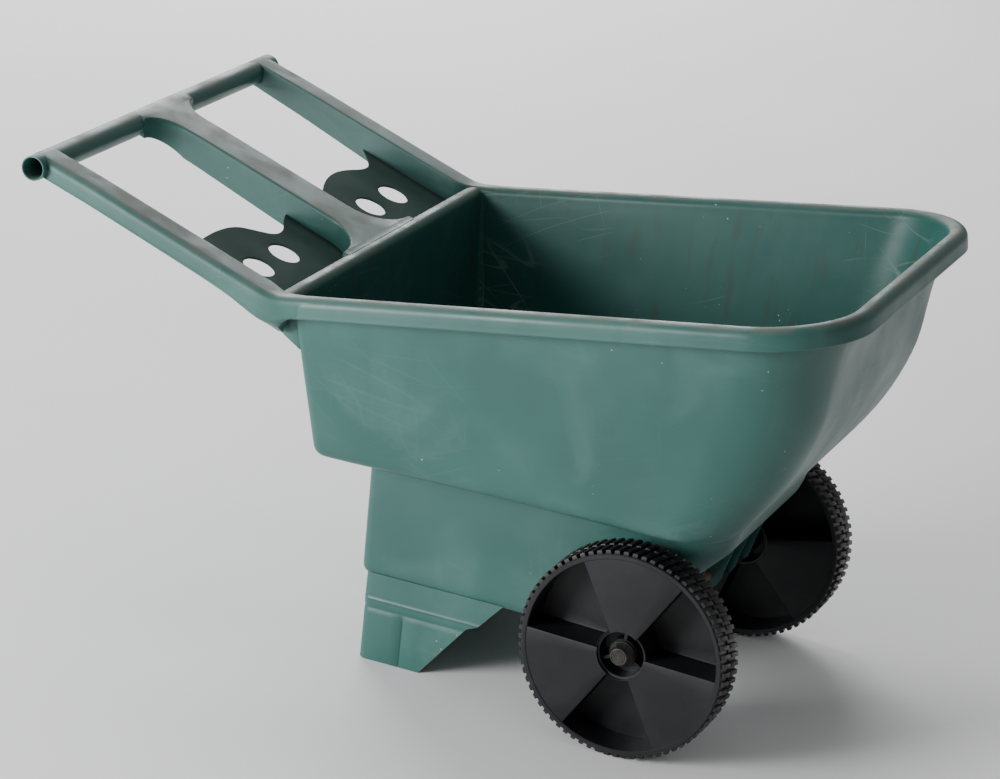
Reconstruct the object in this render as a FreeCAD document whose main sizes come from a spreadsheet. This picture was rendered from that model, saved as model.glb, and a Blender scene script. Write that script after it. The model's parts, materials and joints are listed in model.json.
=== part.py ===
"""Two-wheel garden cart: a moulded tub with an integral handle frame, a stand foot and an axle.

Frame: +X towards the nose, +Y to the left of someone pushing, +Z up, millimetres.  Every
sub-part is drawn about the axle's foot point on the ground, or in its own tilted frame, and
its Placement puts it in the row frame, whose origin is the middle of the box on the ground.
"""
import FreeCAD, Part
import math
import os
import Sketcher

DOC = FreeCAD.newDocument("garden_cart")
VECTOR = FreeCAD.Vector
Y_AXIS = VECTOR(0, 1, 0)

# ---------------------------------------------------------------- driving dimensions (mm, degrees)
DIMENSIONS = [
    ("frame_shift", 275.2, "axle to the middle of the whole length"),
    ("wall", 4.5, "thickness of the moulding"),
    # tub
    ("ledge_height", 277.0, "underside of the tub's ledge"),
    ("ledge_rear", -408.0, "rear edge of the ledge"),
    ("ledge_front", 98.0, "front edge of the ledge"),
    ("ledge_half", 240.0, "half width at the ledge"),
    ("mouth_height", 534.2, "height of the tub wall's top plane above the axle"),
    ("mouth_rear", -438.5, "rear edge of the tub wall's top"),
    ("mouth_front", 203.5, "front edge of the tub wall's top"),
    ("mouth_half", 273.0, "half width at the top"),
    ("mouth_slope", 9.0, "slope of the mouth, rising to the nose"),
    ("nose_curve", 1.85, "how far the nose bows out"),
    ("nose_radius", 100.0, "plan radius of the tub's front corners"),
    ("rear_radius", 14.0, "plan radius of the tub's rear corners"),
    # rim
    ("rim_width", 24.0, "width of the rolled rim"),
    ("rim_skirt", 25.0, "depth of the rim's outer skirt"),
    ("rim_leg", 12.0, "depth of the rim's inner leg"),
    ("rim_roll", 11.0, "radius of the rolled edge"),
    ("rim_tail", -60.0, "how far the rim's blank runs on before it is trimmed"),
    ("rim_back", -457.0, "rear end of the rim and back of the rear bar"),
    ("bar_front", -431.0, "front edge of the rear bar"),
    ("bar_depth", 40.0, "depth of the rear bar's back skirt"),
    ("bar_leg", 7.5, "depth of the rear bar's front leg"),
    ("bar_roll", 7.0, "radius of the rear bar's front edge"),
    # lower well
    ("well_bottom", 107.0, "underside of the well"),
    ("well_rear", -365.0, "rear face of the well"),
    ("well_front", -45.0, "front edge of the well's floor"),
    ("well_brow", 83.0, "foremost point of the well's brow"),
    ("well_brow_height", 237.0, "height of the brow"),
    ("well_half", 166.0, "half width of the well"),
    ("well_radius", 24.0, "plan radius of the well's corners"),
    # stand foot
    ("foot_rear", -359.0, "rear face of the foot"),
    ("foot_toe", -278.0, "front of the foot on the ground"),
    ("foot_half", 158.0, "half width of the foot"),
    ("foot_step_height", 72.0, "height of the foot's front step"),
    ("foot_step_rear", -222.0, "rear end of the step"),
    ("foot_step_front", -206.0, "front end of the step"),
    ("foot_front", -184.0, "front of the foot where it joins the well"),
    # handle
    ("handle_slope", 19.0, "slope of the handle, rising to the rear"),
    ("handle_height", 478.6, "handle's top face at the rear bar"),
    ("bar_reach", 316.5, "rear bar to crossbar centre, along the handle"),
    ("bar_radius", 15.3, "crossbar's outer radius"),
    ("bar_bore", 12.4, "crossbar's bore radius"),
    ("bar_sink", 16.8, "crossbar's centre below the handle's top"),
    ("bar_half", 306.7, "half length of the crossbar"),
    ("rail_middle", 279.0, "rail's middle line from the centre"),
    ("rail_width", 38.0, "rail width"),
    ("rail_depth_rear", 25.0, "rail depth at the crossbar"),
    ("rail_depth_front", 44.0, "rail depth at the tub"),
    ("rail_round", 9.0, "radius of the rail's top edges"),
    ("spar_half", 30.0, "half width of the spar"),
    ("spar_flare_rear", 62.0, "half width where the spar meets the crossbar"),
    ("spar_flare_front", 95.0, "half width where the spar meets the rear bar"),
    ("spar_blend_rear", 30.0, "blend radius at the crossbar"),
    ("spar_blend_front", 44.0, "blend radius at the rear bar"),
    # tool plates
    ("plate_depth", 28.4, "plate's top face below the handle's top"),
    ("plate_thick", 2.5, "plate thickness"),
    ("hole_radius", 20.5, "tool hole radius"),
    ("hole_back", 55.3, "tool holes behind the rear bar, along the handle"),
    ("hole_inner", 122.0, "inner tool hole from the centre"),
    ("hole_outer", 188.5, "outer tool hole from the centre"),
    # running gear
    ("wheel_radius", 127.0, "radius over the tread lugs"),
    ("drum_radius", 122.6, "radius at the foot of the lugs"),
    ("drum_inner", 116.5, "inner radius of the drum"),
    ("wheel_width", 50.8, "wheel width"),
    ("wheel_face", 238.3, "outer face of the wheel from the centre"),
    ("web", 4.5, "thickness of the wheel's webs"),
    ("hub_radius", 31.3, "outer radius of the hub ring"),
    ("hub_inner", 27.0, "inner radius of the hub ring"),
    ("web_turn", 28.0, "turn of the wheel's webs at rest"),
    ("hub_recess", 5.5, "hub ring's face behind the wheel's face"),
    ("sleeve_radius", 17.0, "outer radius of the wheel's sleeve"),
    ("sleeve_inside", 168.6, "inner end of the sleeve"),
    ("sleeve_outside", 227.7, "outer end of the sleeve"),
    ("axle_radius", 6.35, "axle rod radius"),
    ("axle_half", 237.0, "half length of the axle rod"),
    ("running_gap", 0.06, "radial clearance on the axle"),
    ("end_gap", 0.3, "gap at each end of the wheel's sleeve"),
    ("washer_radius", 14.0, "washer outer radius"),
    ("washer_thick", 2.0, "washer thickness"),
    ("cap_flange", 15.5, "axle cap's flange radius"),
    ("cap_taper", 21.0, "slope of the cap's side"),
    ("cap_dome", 14.8, "radius at the foot of the cap's side"),
    ("cap_thick", 1.5, "axle cap's sheet thickness"),
    ("cap_height", 12.5, "axle cap's height"),
    ("rib_first", 56.0, "innermost saddle rib from the centre"),
    ("rib_pitch", 54.0, "spacing of the saddle ribs"),
    ("rib_thick", 4.0, "saddle rib thickness"),
    ("rib_drop", 15.0, "rib below the axle centre"),
]
TREAD_LUGS = 72
WEB_SECTORS = 3
LOFT_STATIONS = 4
# Back edge of each tool plate from the spar to the rail: reach behind the holes, distance across.
PLATE_BACK_RIGHT = [48, (42, 46), (28, 70), (30, 94), (68, 128), (74, 160), (74, 210), 64]
PLATE_BACK_LEFT = [38, (53, 82), (69, 116), (72, 150), (68, 176), (55, 204), (55, 226), (70, 246), 84]


def make_sheet():
    """Put every driving dimension in an aliased cell."""
    sheet = DOC.addObject("Spreadsheet::Sheet", "dims")
    for row, (alias, value, note) in enumerate(DIMENSIONS, start=1):
        sheet.set(f"A{row}", note)
        sheet.set(f"B{row}", str(value))
        sheet.setAlias(f"B{row}", alias)
    DOC.recompute()
    return sheet


SHEET = make_sheet()


def size(expression):
    """Value of an expression over the sheet, as a plain number."""
    value = SHEET.evalExpression(expression)
    return float(getattr(value, "Value", value))


# ---------------------------------------------------------------- drawing helpers
def new_body(label):
    """A body that will become one sub-part."""
    body = DOC.addObject("PartDesign::Body", label)
    body.Label = label
    return body


def place(part, along="dims.frame_shift", across="0", up="0", tilt="0"):
    """Put a sub-part in the row frame, turned about Y by tilt degrees."""
    part.Placement = FreeCAD.Placement(VECTOR(), FreeCAD.Rotation(Y_AXIS, 1))
    part.setExpression("Placement.Rotation.Angle", f"({tilt}) * 1deg")
    part.setExpression("Placement.Base.x", f"({along}) * 1mm")
    part.setExpression("Placement.Base.y", f"({across}) * 1mm")
    part.setExpression("Placement.Base.z", f"({up}) * 1mm")


def new_sketch(body, name, plane, lift="0", tilt="0", turn="0"):
    """A sketch on one of the body's own origin planes, raised along its normal and tilted."""
    sketch = body.newObject("Sketcher::SketchObject", name)
    base = [item for item in body.Origin.OriginFeatures if item.Role == plane][0]
    sketch.AttachmentSupport = [(base, "")]
    sketch.MapMode = "FlatFace"
    axis, angle = (Y_AXIS, tilt) if tilt != "0" else (VECTOR(0, 0, 1), turn)
    sketch.AttachmentOffset = FreeCAD.Placement(VECTOR(), FreeCAD.Rotation(axis, 1))
    sketch.setExpression("AttachmentOffset.Rotation.Angle", f"({angle}) * 1deg")
    sketch.setExpression("AttachmentOffset.Base.z", f"({lift}) * 1mm")
    return sketch


def pin_point(sketch, geometry, end, across, up):
    """Hold one end of a line at a place given by two expressions."""
    for kind, expression in (("DistanceX", across), ("DistanceY", up)):
        index = sketch.addConstraint(
            Sketcher.Constraint(kind, -1, 1, geometry, end, size(expression)))
        sketch.setExpression(f"Constraints[{index}]", expression)


def polygon(body, name, plane, corners, lift="0", turn="0"):
    """Closed outline whose corners are pairs of expressions."""
    sketch = new_sketch(body, name, plane, lift, turn=turn)
    places = [VECTOR(size(across), size(up), 0) for across, up in corners]
    count = len(corners)
    for index in range(count):
        sketch.addGeometry(Part.LineSegment(places[index], places[(index + 1) % count]), False)
    for index in range(count):
        sketch.addConstraint(
            Sketcher.Constraint("Coincident", index, 2, (index + 1) % count, 1))
        pin_point(sketch, index, 1, *corners[index])
    return sketch


def disc(body, name, plane, radius, across="0", up="0", lift="0"):
    """Circle of a given radius."""
    sketch = new_sketch(body, name, plane, lift)
    centre = VECTOR(size(across), size(up), 0)
    sketch.addGeometry(Part.Circle(centre, VECTOR(0, 0, 1), size(radius)), False)
    index = sketch.addConstraint(Sketcher.Constraint("Radius", 0, size(radius)))
    sketch.setExpression(f"Constraints[{index}]", radius)
    pin_point(sketch, 0, 3, across, up)
    return sketch


def rounded_plan(body, name, rear, front, half, rear_radius, front_radius, lift="0", tilt="0"):
    """Rectangle with rounded corners, symmetric about X, on a plane tilted about Y."""
    sketch = new_sketch(body, name, "XY_Plane", lift, tilt)
    rounded_loop(sketch, rear, front, half, rear_radius, front_radius)
    return sketch


def rounded_loop(sketch, rear, front, half, rear_radius, front_radius):
    """Add one rounded rectangle to a sketch, held by its expressions."""
    first = len(sketch.Geometry)
    low, high, side = size(rear), size(front), size(half)
    radii = [size(rear_radius), size(front_radius), size(front_radius), size(rear_radius)]
    corners = [VECTOR(low, -side, 0), VECTOR(high, -side, 0),
               VECTOR(high, side, 0), VECTOR(low, side, 0)]
    for index in range(4):
        start, end = corners[index], corners[(index + 1) % 4]
        step = (end - start).normalize()
        sketch.addGeometry(Part.LineSegment(
            start + step * radii[index], end - step * radii[(index + 1) % 4]), False)
    for index in range(4):
        inward_x = 1 if index in (0, 3) else -1
        inward_y = 1 if index in (0, 1) else -1
        centre = corners[index] + VECTOR(inward_x, inward_y, 0) * radii[index]
        circle = Part.Circle(centre, VECTOR(0, 0, 1), radii[index])
        start_angle = math.radians(180 + 90 * index)
        sketch.addGeometry(
            Part.ArcOfCircle(circle, start_angle, start_angle + math.pi / 2), False)
    for index in range(4):
        arc, line = first + 4 + index, first + index
        next_arc = first + 4 + (index + 1) % 4
        sketch.addConstraint(Sketcher.Constraint("Tangent", arc, 2, line, 1))
        sketch.addConstraint(Sketcher.Constraint("Tangent", line, 2, next_arc, 1))
        sketch.addConstraint(
            Sketcher.Constraint("Vertical" if index % 2 else "Horizontal", line))
        radius = rear_radius if index in (0, 3) else front_radius
        found = sketch.addConstraint(Sketcher.Constraint("Radius", arc, radii[index]))
        sketch.setExpression(f"Constraints[{found}]", radius)
    edges = ((3, "DistanceX", rear), (1, "DistanceX", front),
             (0, "DistanceY", f"-({half})"), (2, "DistanceY", half))
    for line, kind, expression in edges:
        found = sketch.addConstraint(
            Sketcher.Constraint(kind, -1, 1, first + line, 1, size(expression)))
        sketch.setExpression(f"Constraints[{found}]", expression)


def pad(body, name, sketch, length, midplane=False, reverse=False):
    """Add material from a sketch."""
    feature = body.newObject("PartDesign::Pad", name)
    feature.Profile = sketch
    feature.Midplane = midplane
    feature.Reversed = reverse
    feature.setExpression("Length", f"({length}) * 1mm")
    DOC.recompute()
    return feature


def pocket(body, name, sketch, length, midplane=False, reverse=False):
    """Remove material with a sketch, and make sure that it removes some."""
    before = body.Shape.Volume
    feature = body.newObject("PartDesign::Pocket", name)
    feature.Profile = sketch
    feature.Midplane = midplane
    feature.Reversed = reverse
    feature.setExpression("Length", f"({length}) * 1mm")
    DOC.recompute()
    if not feature.Shape.Volume < before - 1:
        raise RuntimeError(f"{body.Label}: {name} cuts nothing")
    return feature


def loft(body, name, kind, sketches, ruled):
    """Join several sketches with a skin; kind is Additive or Subtractive."""
    feature = body.newObject(f"PartDesign::{kind}Loft", name)
    feature.Profile = sketches[0]
    feature.Sections = sketches[1:]
    feature.Ruled = ruled
    DOC.recompute()
    return feature


def round_edges(body, name, radius, chosen):
    """Fillet the edges for which chosen(edge) is true."""
    base = body.Tip
    names = [f"Edge{index}" for index, edge in enumerate(base.Shape.Edges, start=1)
             if chosen(edge)]
    if not names:
        raise RuntimeError(f"{body.Label}: {name} finds no edge")
    feature = body.newObject("PartDesign::Fillet", name)
    feature.Base = (base, names)
    feature.setExpression("Radius", f"({radius}) * 1mm")
    DOC.recompute()
    return feature


def polar(body, name, feature, count, angle=360.0):
    """Repeat a feature about the body's Y axis."""
    pattern = body.newObject("PartDesign::PolarPattern", name)
    pattern.Originals = [feature]
    axis = [item for item in body.Origin.OriginFeatures if item.Role == "Y_Axis"][0]
    pattern.Axis = (axis, [""])
    pattern.Angle = angle
    pattern.Occurrences = count
    body.Tip = pattern
    DOC.recompute()
    return pattern


def runs_along(edge, direction):
    """True for a straight edge parallel to a direction."""
    if edge.Curve.TypeId != "Part::GeomLine":
        return False
    return abs(edge.tangentAt(edge.FirstParameter).dot(direction)) > 0.999


# ---------------------------------------------------------------- tub
def tub_section(body, name, share, inset, extra="0"):
    """Plan outline of the tub at a share of its height, pulled in by inset."""
    ledge = f"(1 - {share})"
    bow = f"(1 - (1 - {share}) ^ dims.nose_curve)"
    tilt = f"dims.mouth_slope * {share}"
    lift = f"dims.ledge_height * {ledge} + dims.mouth_height * {share} + {extra}"
    rear = f"dims.ledge_rear * {ledge} + dims.mouth_rear * {share} + {inset}"
    front = f"dims.ledge_front + (dims.mouth_front - dims.ledge_front) * {bow} - {inset}"
    half = f"dims.ledge_half * {ledge} + dims.mouth_half * {share} - {inset}"
    return rounded_plan(
        body, name,
        f"({rear}) / cos({tilt})", f"({front}) / cos({tilt})", half,
        f"dims.rear_radius - {inset}", f"dims.nose_radius - {inset}",
        lift, f"-({tilt})")


def make_tub_basin():
    """Upper tub: a lofted shell with a ledge floor that opens into the well."""
    body = new_body("tub_basin")
    shares = [round(index / (LOFT_STATIONS - 1), 6) for index in range(LOFT_STATIONS)]
    outer = [tub_section(body, f"outer_{index}", share, "0")
             for index, share in enumerate(shares)]
    loft(body, "outside", "Additive", outer, False)
    lifts = ["dims.wall"] + ["0"] * (LOFT_STATIONS - 1)
    inner = [tub_section(body, f"inner_{index}", share, "dims.wall", lift)
             for index, (share, lift) in enumerate(zip(shares, lifts))]
    loft(body, "inside", "Subtractive", inner, False)
    opening = rounded_plan(
        body, "well_mouth", "dims.well_rear + dims.wall", "dims.ledge_front - 2 * dims.wall",
        "dims.well_half - dims.wall", "dims.well_radius - dims.wall",
        "dims.nose_radius / 2", "dims.ledge_height - 1")
    pocket(body, "well_opening", opening, "dims.wall + 2", reverse=True)
    place(body)
    return body


def rim_bounds(inset):
    """Sides and corner radii of the rim's plan in its own tilted frame, pulled in by inset."""
    front = "(dims.mouth_front - dims.wall - dims.rim_back) / cos(dims.mouth_slope)"
    return (f"dims.rim_tail + {inset}", f"{front} + dims.rim_width - ({inset})",
            f"dims.mouth_half - dims.wall + dims.rim_width - ({inset})",
            "1", f"dims.nose_radius - dims.wall + dims.rim_width - ({inset})")


def rim_outline(body, name, inset, lift="0"):
    """Plan outline of the rim, on a plane at some height."""
    return rounded_plan(body, name, *rim_bounds(inset), lift)


def make_tub_rim():
    """Rolled rim round the two sides and the nose: an inverted U in section."""
    body = new_body("tub_rim")
    pad(body, "blank", rim_outline(body, "outer_edge", "0"), "dims.rim_skirt", reverse=True)
    pocket(body, "mouth", rim_outline(body, "inner_edge", "dims.rim_width"), "dims.rim_skirt")
    round_edges(body, "roll", "dims.rim_roll",
                lambda edge: edge.BoundBox.ZMin > -0.01 and edge.BoundBox.XMax > -30)
    leg = rim_outline(body, "leg_edge", "dims.rim_width - dims.wall", "-dims.rim_leg")
    pocket(body, "leg_trim", leg, "dims.rim_skirt")
    hollow = rim_outline(body, "hollow_edge", "dims.wall", "-dims.wall")
    rounded_loop(hollow, *rim_bounds("dims.rim_width - dims.wall"))
    pocket(body, "hollow", hollow, "dims.rim_skirt")
    tail = polygon(body, "tail_edge", "XZ_Plane",
                   [("2 * dims.rim_tail", "1"), ("0", "1"), ("0", "-2 * dims.rim_skirt"),
                    ("2 * dims.rim_tail", "-2 * dims.rim_skirt")])
    pocket(body, "tail_trim", tail, "3 * dims.mouth_half", midplane=True)
    top = "dims.mouth_height + dims.rim_back * tan(dims.mouth_slope)"
    place(body, "dims.frame_shift + dims.rim_back", "0",
          f"{top} + dims.rim_leg / cos(dims.mouth_slope)", "-dims.mouth_slope")
    return body


def make_rear_bar():
    """Bar across the back of the tub: an inverted U with a deep back skirt."""
    body = new_body("rear_bar")
    depth = "(dims.bar_front - dims.rim_back)"
    section = polygon(body, "section", "XZ_Plane", [
        ("0", "0"), (depth, "0"), (depth, "-dims.bar_leg"),
        (f"{depth} - dims.wall", "-dims.bar_leg"), (f"{depth} - dims.wall", "-dims.wall"),
        ("dims.wall", "-dims.wall"), ("dims.wall", "-dims.bar_depth"), ("0", "-dims.bar_depth")])
    pad(body, "bar", section, "2 * (dims.mouth_half - dims.wall)", midplane=True)
    round_edges(body, "front_roll", "dims.bar_roll",
                lambda edge: runs_along(edge, Y_AXIS)
                and edge.BoundBox.ZMin > -0.1 and edge.BoundBox.XMin > 1)
    top = "dims.mouth_height + dims.rim_back * tan(dims.mouth_slope)"
    place(body, "dims.frame_shift + dims.rim_back", "0",
          f"{top} + dims.rim_leg / cos(dims.mouth_slope)")
    return body


def make_lower_well():
    """Narrow well under the tub, open at the top, with a raked front below its brow."""
    body = new_body("lower_well")

    def shell(name, kind, inset, floor):
        """Side profile as a prism, with its corners left square."""
        profile = polygon(body, f"{name}_profile", "XZ_Plane", [
            (f"dims.well_rear + {inset}", f"dims.well_bottom + {floor}"),
            (f"dims.well_front - {inset}", f"dims.well_bottom + {floor}"),
            (f"dims.well_brow - {inset} * 1.2", "dims.well_brow_height"),
            (f"dims.ledge_front - {inset} * 1.2", "dims.ledge_height"),
            (f"dims.well_rear + {inset}", "dims.ledge_height")])
        width = f"2 * (dims.well_half - {inset})"
        if kind == "add":
            return pad(body, name, profile, width, midplane=True)
        return pocket(body, name, profile, width, midplane=True)

    shell("outside", "add", "0", "0")
    round_edges(body, "front_corners", "dims.well_radius * 2",
                lambda edge: edge.BoundBox.XMin > size("dims.well_front") - 1
                and edge.BoundBox.YLength < 1 and edge.BoundBox.ZLength > 20)
    round_edges(body, "rear_corners", "dims.well_radius",
                lambda edge: edge.BoundBox.XMax < size("dims.well_rear") + 1
                and edge.BoundBox.YLength < 1 and edge.BoundBox.ZLength > 20)
    inside = rounded_plan(
        body, "inside_plan", "dims.well_rear + dims.wall", "dims.well_front - dims.wall",
        "dims.well_half - dims.wall", "dims.well_radius - dims.wall",
        "dims.well_radius - dims.wall", "dims.well_bottom + dims.wall")
    pocket(body, "inside", inside, "dims.ledge_height", reverse=True)
    nose = polygon(body, "nose_profile", "XZ_Plane", [
        ("dims.well_front - 2 * dims.wall", "dims.well_bottom + dims.wall"),
        ("dims.well_front - dims.wall", "dims.well_bottom + dims.wall"),
        ("dims.well_brow - dims.wall * 1.2", "dims.well_brow_height"),
        ("dims.ledge_front - dims.wall * 1.3", "dims.ledge_height + 1"),
        ("dims.well_front - 2 * dims.wall", "dims.ledge_height + 1")])
    pocket(body, "nose_inside", nose, "2 * (dims.well_half - dims.well_radius * 1.2)",
           midplane=True)
    place(body)
    return body


def make_stand_foot():
    """U-shaped foot under the well: two raked side panels and a rear wall."""
    body = new_body("stand_foot")
    profile = polygon(body, "profile", "XZ_Plane", [
        ("dims.foot_rear", "0"), ("dims.foot_toe", "0"),
        ("dims.foot_step_rear", "dims.foot_step_height"),
        ("dims.foot_step_front", "dims.foot_step_height + 6"),
        ("dims.foot_front", "dims.well_bottom"), ("dims.foot_rear", "dims.well_bottom")])
    pad(body, "block", profile, "2 * dims.foot_half", midplane=True)
    round_edges(body, "heel", "dims.wall * 2",
                lambda edge: runs_along(edge, VECTOR(0, 0, 1))
                and edge.BoundBox.XMax < size("dims.foot_rear") + 1)
    hollow = polygon(body, "hollow_profile", "XZ_Plane", [
        ("dims.foot_rear + dims.wall", "-1"), ("0", "-1"),
        ("0", "dims.well_bottom + 1"), ("dims.foot_rear + dims.wall", "dims.well_bottom + 1")])
    pocket(body, "hollow", hollow, "2 * (dims.foot_half - dims.wall)", midplane=True)
    place(body)
    return body


# ---------------------------------------------------------------- handle frame
def put_on_handle(body, across="0"):
    """Place a sub-part drawn in the handle's own frame, whose origin is at the rear bar's back."""
    place(body, "dims.frame_shift + dims.rim_back", across, "dims.handle_height",
          "dims.handle_slope")


def make_rail(label, side):
    """Side rail: a channel that is open below and deepens towards the tub."""
    body = new_body(label)
    lean = "tan(dims.handle_slope)"
    profile = polygon(body, "profile", "XZ_Plane", [
        ("-dims.bar_reach", "0"), ("0", "0"),
        (f"dims.rail_depth_front * {lean}", "-dims.rail_depth_front"),
        ("-dims.bar_reach", "-dims.rail_depth_rear")])
    pad(body, "rail", profile, "dims.rail_width", midplane=True)
    round_edges(body, "top_edges", "dims.rail_round",
                lambda edge: edge.BoundBox.ZMin > -0.1 and edge.BoundBox.YLength < 1)
    hollow = polygon(body, "hollow_profile", "XZ_Plane", [
        ("-dims.bar_reach + dims.bar_radius + dims.wall", "-dims.rail_round"),
        ("-dims.wall", "-dims.rail_round"), ("-dims.wall", "-80"),
        ("-dims.bar_reach + dims.bar_radius + dims.wall", "-80")])
    pocket(body, "hollow", hollow, "dims.rail_width - 2 * dims.wall", midplane=True)
    seat = disc(body, "seat_circle", "XZ_Plane", "dims.bar_radius",
                "-dims.bar_reach", "-dims.bar_sink")
    pocket(body, "seat", seat, "dims.rail_width + 2", midplane=True)
    put_on_handle(body, f"{side} * dims.rail_middle")
    return body


def make_handle_spar():
    """Centre spar: a flat-topped channel that flares into the crossbar and the rear bar."""
    body = new_body("handle_spar")
    rear, front = "-dims.bar_reach", "dims.rail_depth_front * tan(dims.handle_slope)"
    land = "14"
    outline = []
    for sign in ("", "-"):
        side = [(rear, f"{sign}dims.spar_flare_rear"),
                (f"{rear} + {land}", f"{sign}dims.spar_flare_rear"),
                (f"{rear} + {land}", f"{sign}dims.spar_half"),
                ("-6", f"{sign}dims.spar_half"),
                ("-6", f"{sign}dims.spar_flare_front"),
                (front, f"{sign}dims.spar_flare_front")]
        outline += side if sign else side[::-1]
    plan = polygon(body, "plan", "XY_Plane", outline)
    pad(body, "spar", plan, "dims.rail_depth_front", reverse=True)
    z_axis = VECTOR(0, 0, 1)
    middle = -size("dims.bar_reach") / 2
    for name, radius, rearward in (("rear_blend", "dims.spar_blend_rear", True),
                                   ("front_blend", "dims.spar_blend_front", False)):
        round_edges(body, name, radius,
                    lambda edge: runs_along(edge, z_axis)
                    and abs(abs(edge.BoundBox.YMin) - size("dims.spar_half")) < 0.1
                    and (edge.BoundBox.XMin < middle) == rearward)
    lean = "tan(dims.handle_slope)"
    end = polygon(body, "end_profile", "XZ_Plane", [
        ("0", "0"), (front, "-dims.rail_depth_front"),
        (f"{front} + 20", "-dims.rail_depth_front"), (f"{front} + 20", "1"),
        (f"-1 * {lean}", "1")])
    pocket(body, "end_trim", end, "3 * dims.spar_flare_front", midplane=True)
    under = polygon(body, "under_profile", "XZ_Plane", [
        ("-dims.bar_reach - 1", "-dims.rail_depth_rear - 6"), ("0", "-dims.rail_depth_front"),
        ("0", "-80"), ("-dims.bar_reach - 1", "-80")])
    pocket(body, "under_trim", under, "3 * dims.spar_flare_front", midplane=True)
    for side, sign in (("left", ""), ("right", "-")):
        ledge = polygon(body, f"plate_seat_{side}", "XY_Plane", [
            ("-dims.bar_reach / 2", f"{sign}dims.spar_half"),
            (f"{front} + 1", f"{sign}dims.spar_half"),
            (f"{front} + 1", f"{sign}(2 * dims.spar_flare_front)"),
            ("-dims.bar_reach / 2", f"{sign}(2 * dims.spar_flare_front)")],
            lift="-dims.plate_depth")
        pocket(body, f"plate_seat_cut_{side}", ledge, "dims.rail_depth_front")
    hollow = polygon(body, "hollow_plan", "XY_Plane", [
        (f"{rear} + {land} + dims.wall", "dims.wall - dims.spar_half"),
        ("-dims.wall", "dims.wall - dims.spar_half"),
        ("-dims.wall", "dims.spar_half - dims.wall"),
        (f"{rear} + {land} + dims.wall", "dims.spar_half - dims.wall")], lift="-dims.wall")
    pocket(body, "hollow", hollow, "80")
    seat = disc(body, "seat_circle", "XZ_Plane", "dims.bar_radius",
                "-dims.bar_reach", "-dims.bar_sink")
    pocket(body, "seat", seat, "3 * dims.spar_flare_rear", midplane=True)
    put_on_handle(body)
    return body


def make_crossbar():
    """Round hollow bar across the end of the handle."""
    body = new_body("handle_crossbar")
    centre = ("-dims.bar_reach", "-dims.bar_sink")
    bar = disc(body, "bar_circle", "XZ_Plane", "dims.bar_radius", *centre)
    pad(body, "bar", bar, "2 * dims.bar_half", midplane=True)
    bore = disc(body, "bore_circle", "XZ_Plane", "dims.bar_bore", *centre)
    pocket(body, "bore", bore, "2 * dims.bar_half + 2", midplane=True)
    put_on_handle(body)
    return body


def make_tool_plate(label, side, corners):
    """Thin plate between the spar and a rail, with two tool holes."""
    body = new_body(label)
    places = [(along, f"{side} * ({across})") for along, across in corners]
    plan = polygon(body, "plan", "XY_Plane", places, lift="-dims.plate_depth")
    pad(body, "plate", plan, "dims.plate_thick", reverse=True)
    round_edges(body, "scallops", "7",
                lambda edge: runs_along(edge, VECTOR(0, 0, 1))
                and edge.BoundBox.XMin < -size("dims.hole_back")
                and size("dims.spar_half") + 2 < abs(edge.BoundBox.YMin)
                < size("dims.rail_middle - dims.rail_width / 2") - 2)
    for name, across in (("inner_hole", "dims.hole_inner"), ("outer_hole", "dims.hole_outer")):
        circle = disc(body, f"{name}_circle", "XY_Plane", "dims.hole_radius",
                      "-dims.hole_back", f"{side} * {across}", "-dims.plate_depth")
        pocket(body, name, circle, "2 * dims.plate_thick")
    put_on_handle(body)
    return body


def plate_corners(back_edge):
    """Outline of a tool plate: straight along the spar, bar and rail, scalloped at the back."""
    rail = "dims.rail_middle - dims.rail_width / 2"
    drop = "dims.plate_depth * tan(dims.handle_slope)"
    spar_end, *middle, rail_end = back_edge
    return [(drop, "dims.spar_half"), (drop, rail), (f"-dims.hole_back - {rail_end}", rail)] + [
        (f"-dims.hole_back - {reach}", f"{across}") for reach, across in reversed(middle)] + [
        (f"-dims.hole_back - {spar_end}", "dims.spar_half")]


def make_gusset(label, side):
    """Corner web between a rail, the rear bar and the tub."""
    body = new_body(label)
    drop = "dims.rail_depth_front"
    web = polygon(body, "web_profile", "XZ_Plane", [
        ("dims.rim_back", f"dims.handle_height - {drop} - 3"),
        ("dims.rim_back + 12", f"dims.handle_height - {drop} - 14"),
        ("dims.ledge_rear - 21.5", "dims.handle_height - 68"),
        ("dims.ledge_rear - 27", "dims.handle_height - 44"),
        ("dims.rim_back + 2", "dims.handle_height - 45")])
    pad(body, "web", web, "2 * dims.wall", midplane=True)
    place(body, "dims.frame_shift", f"{side} * (dims.mouth_half - 3 * dims.wall)")
    return body


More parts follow.
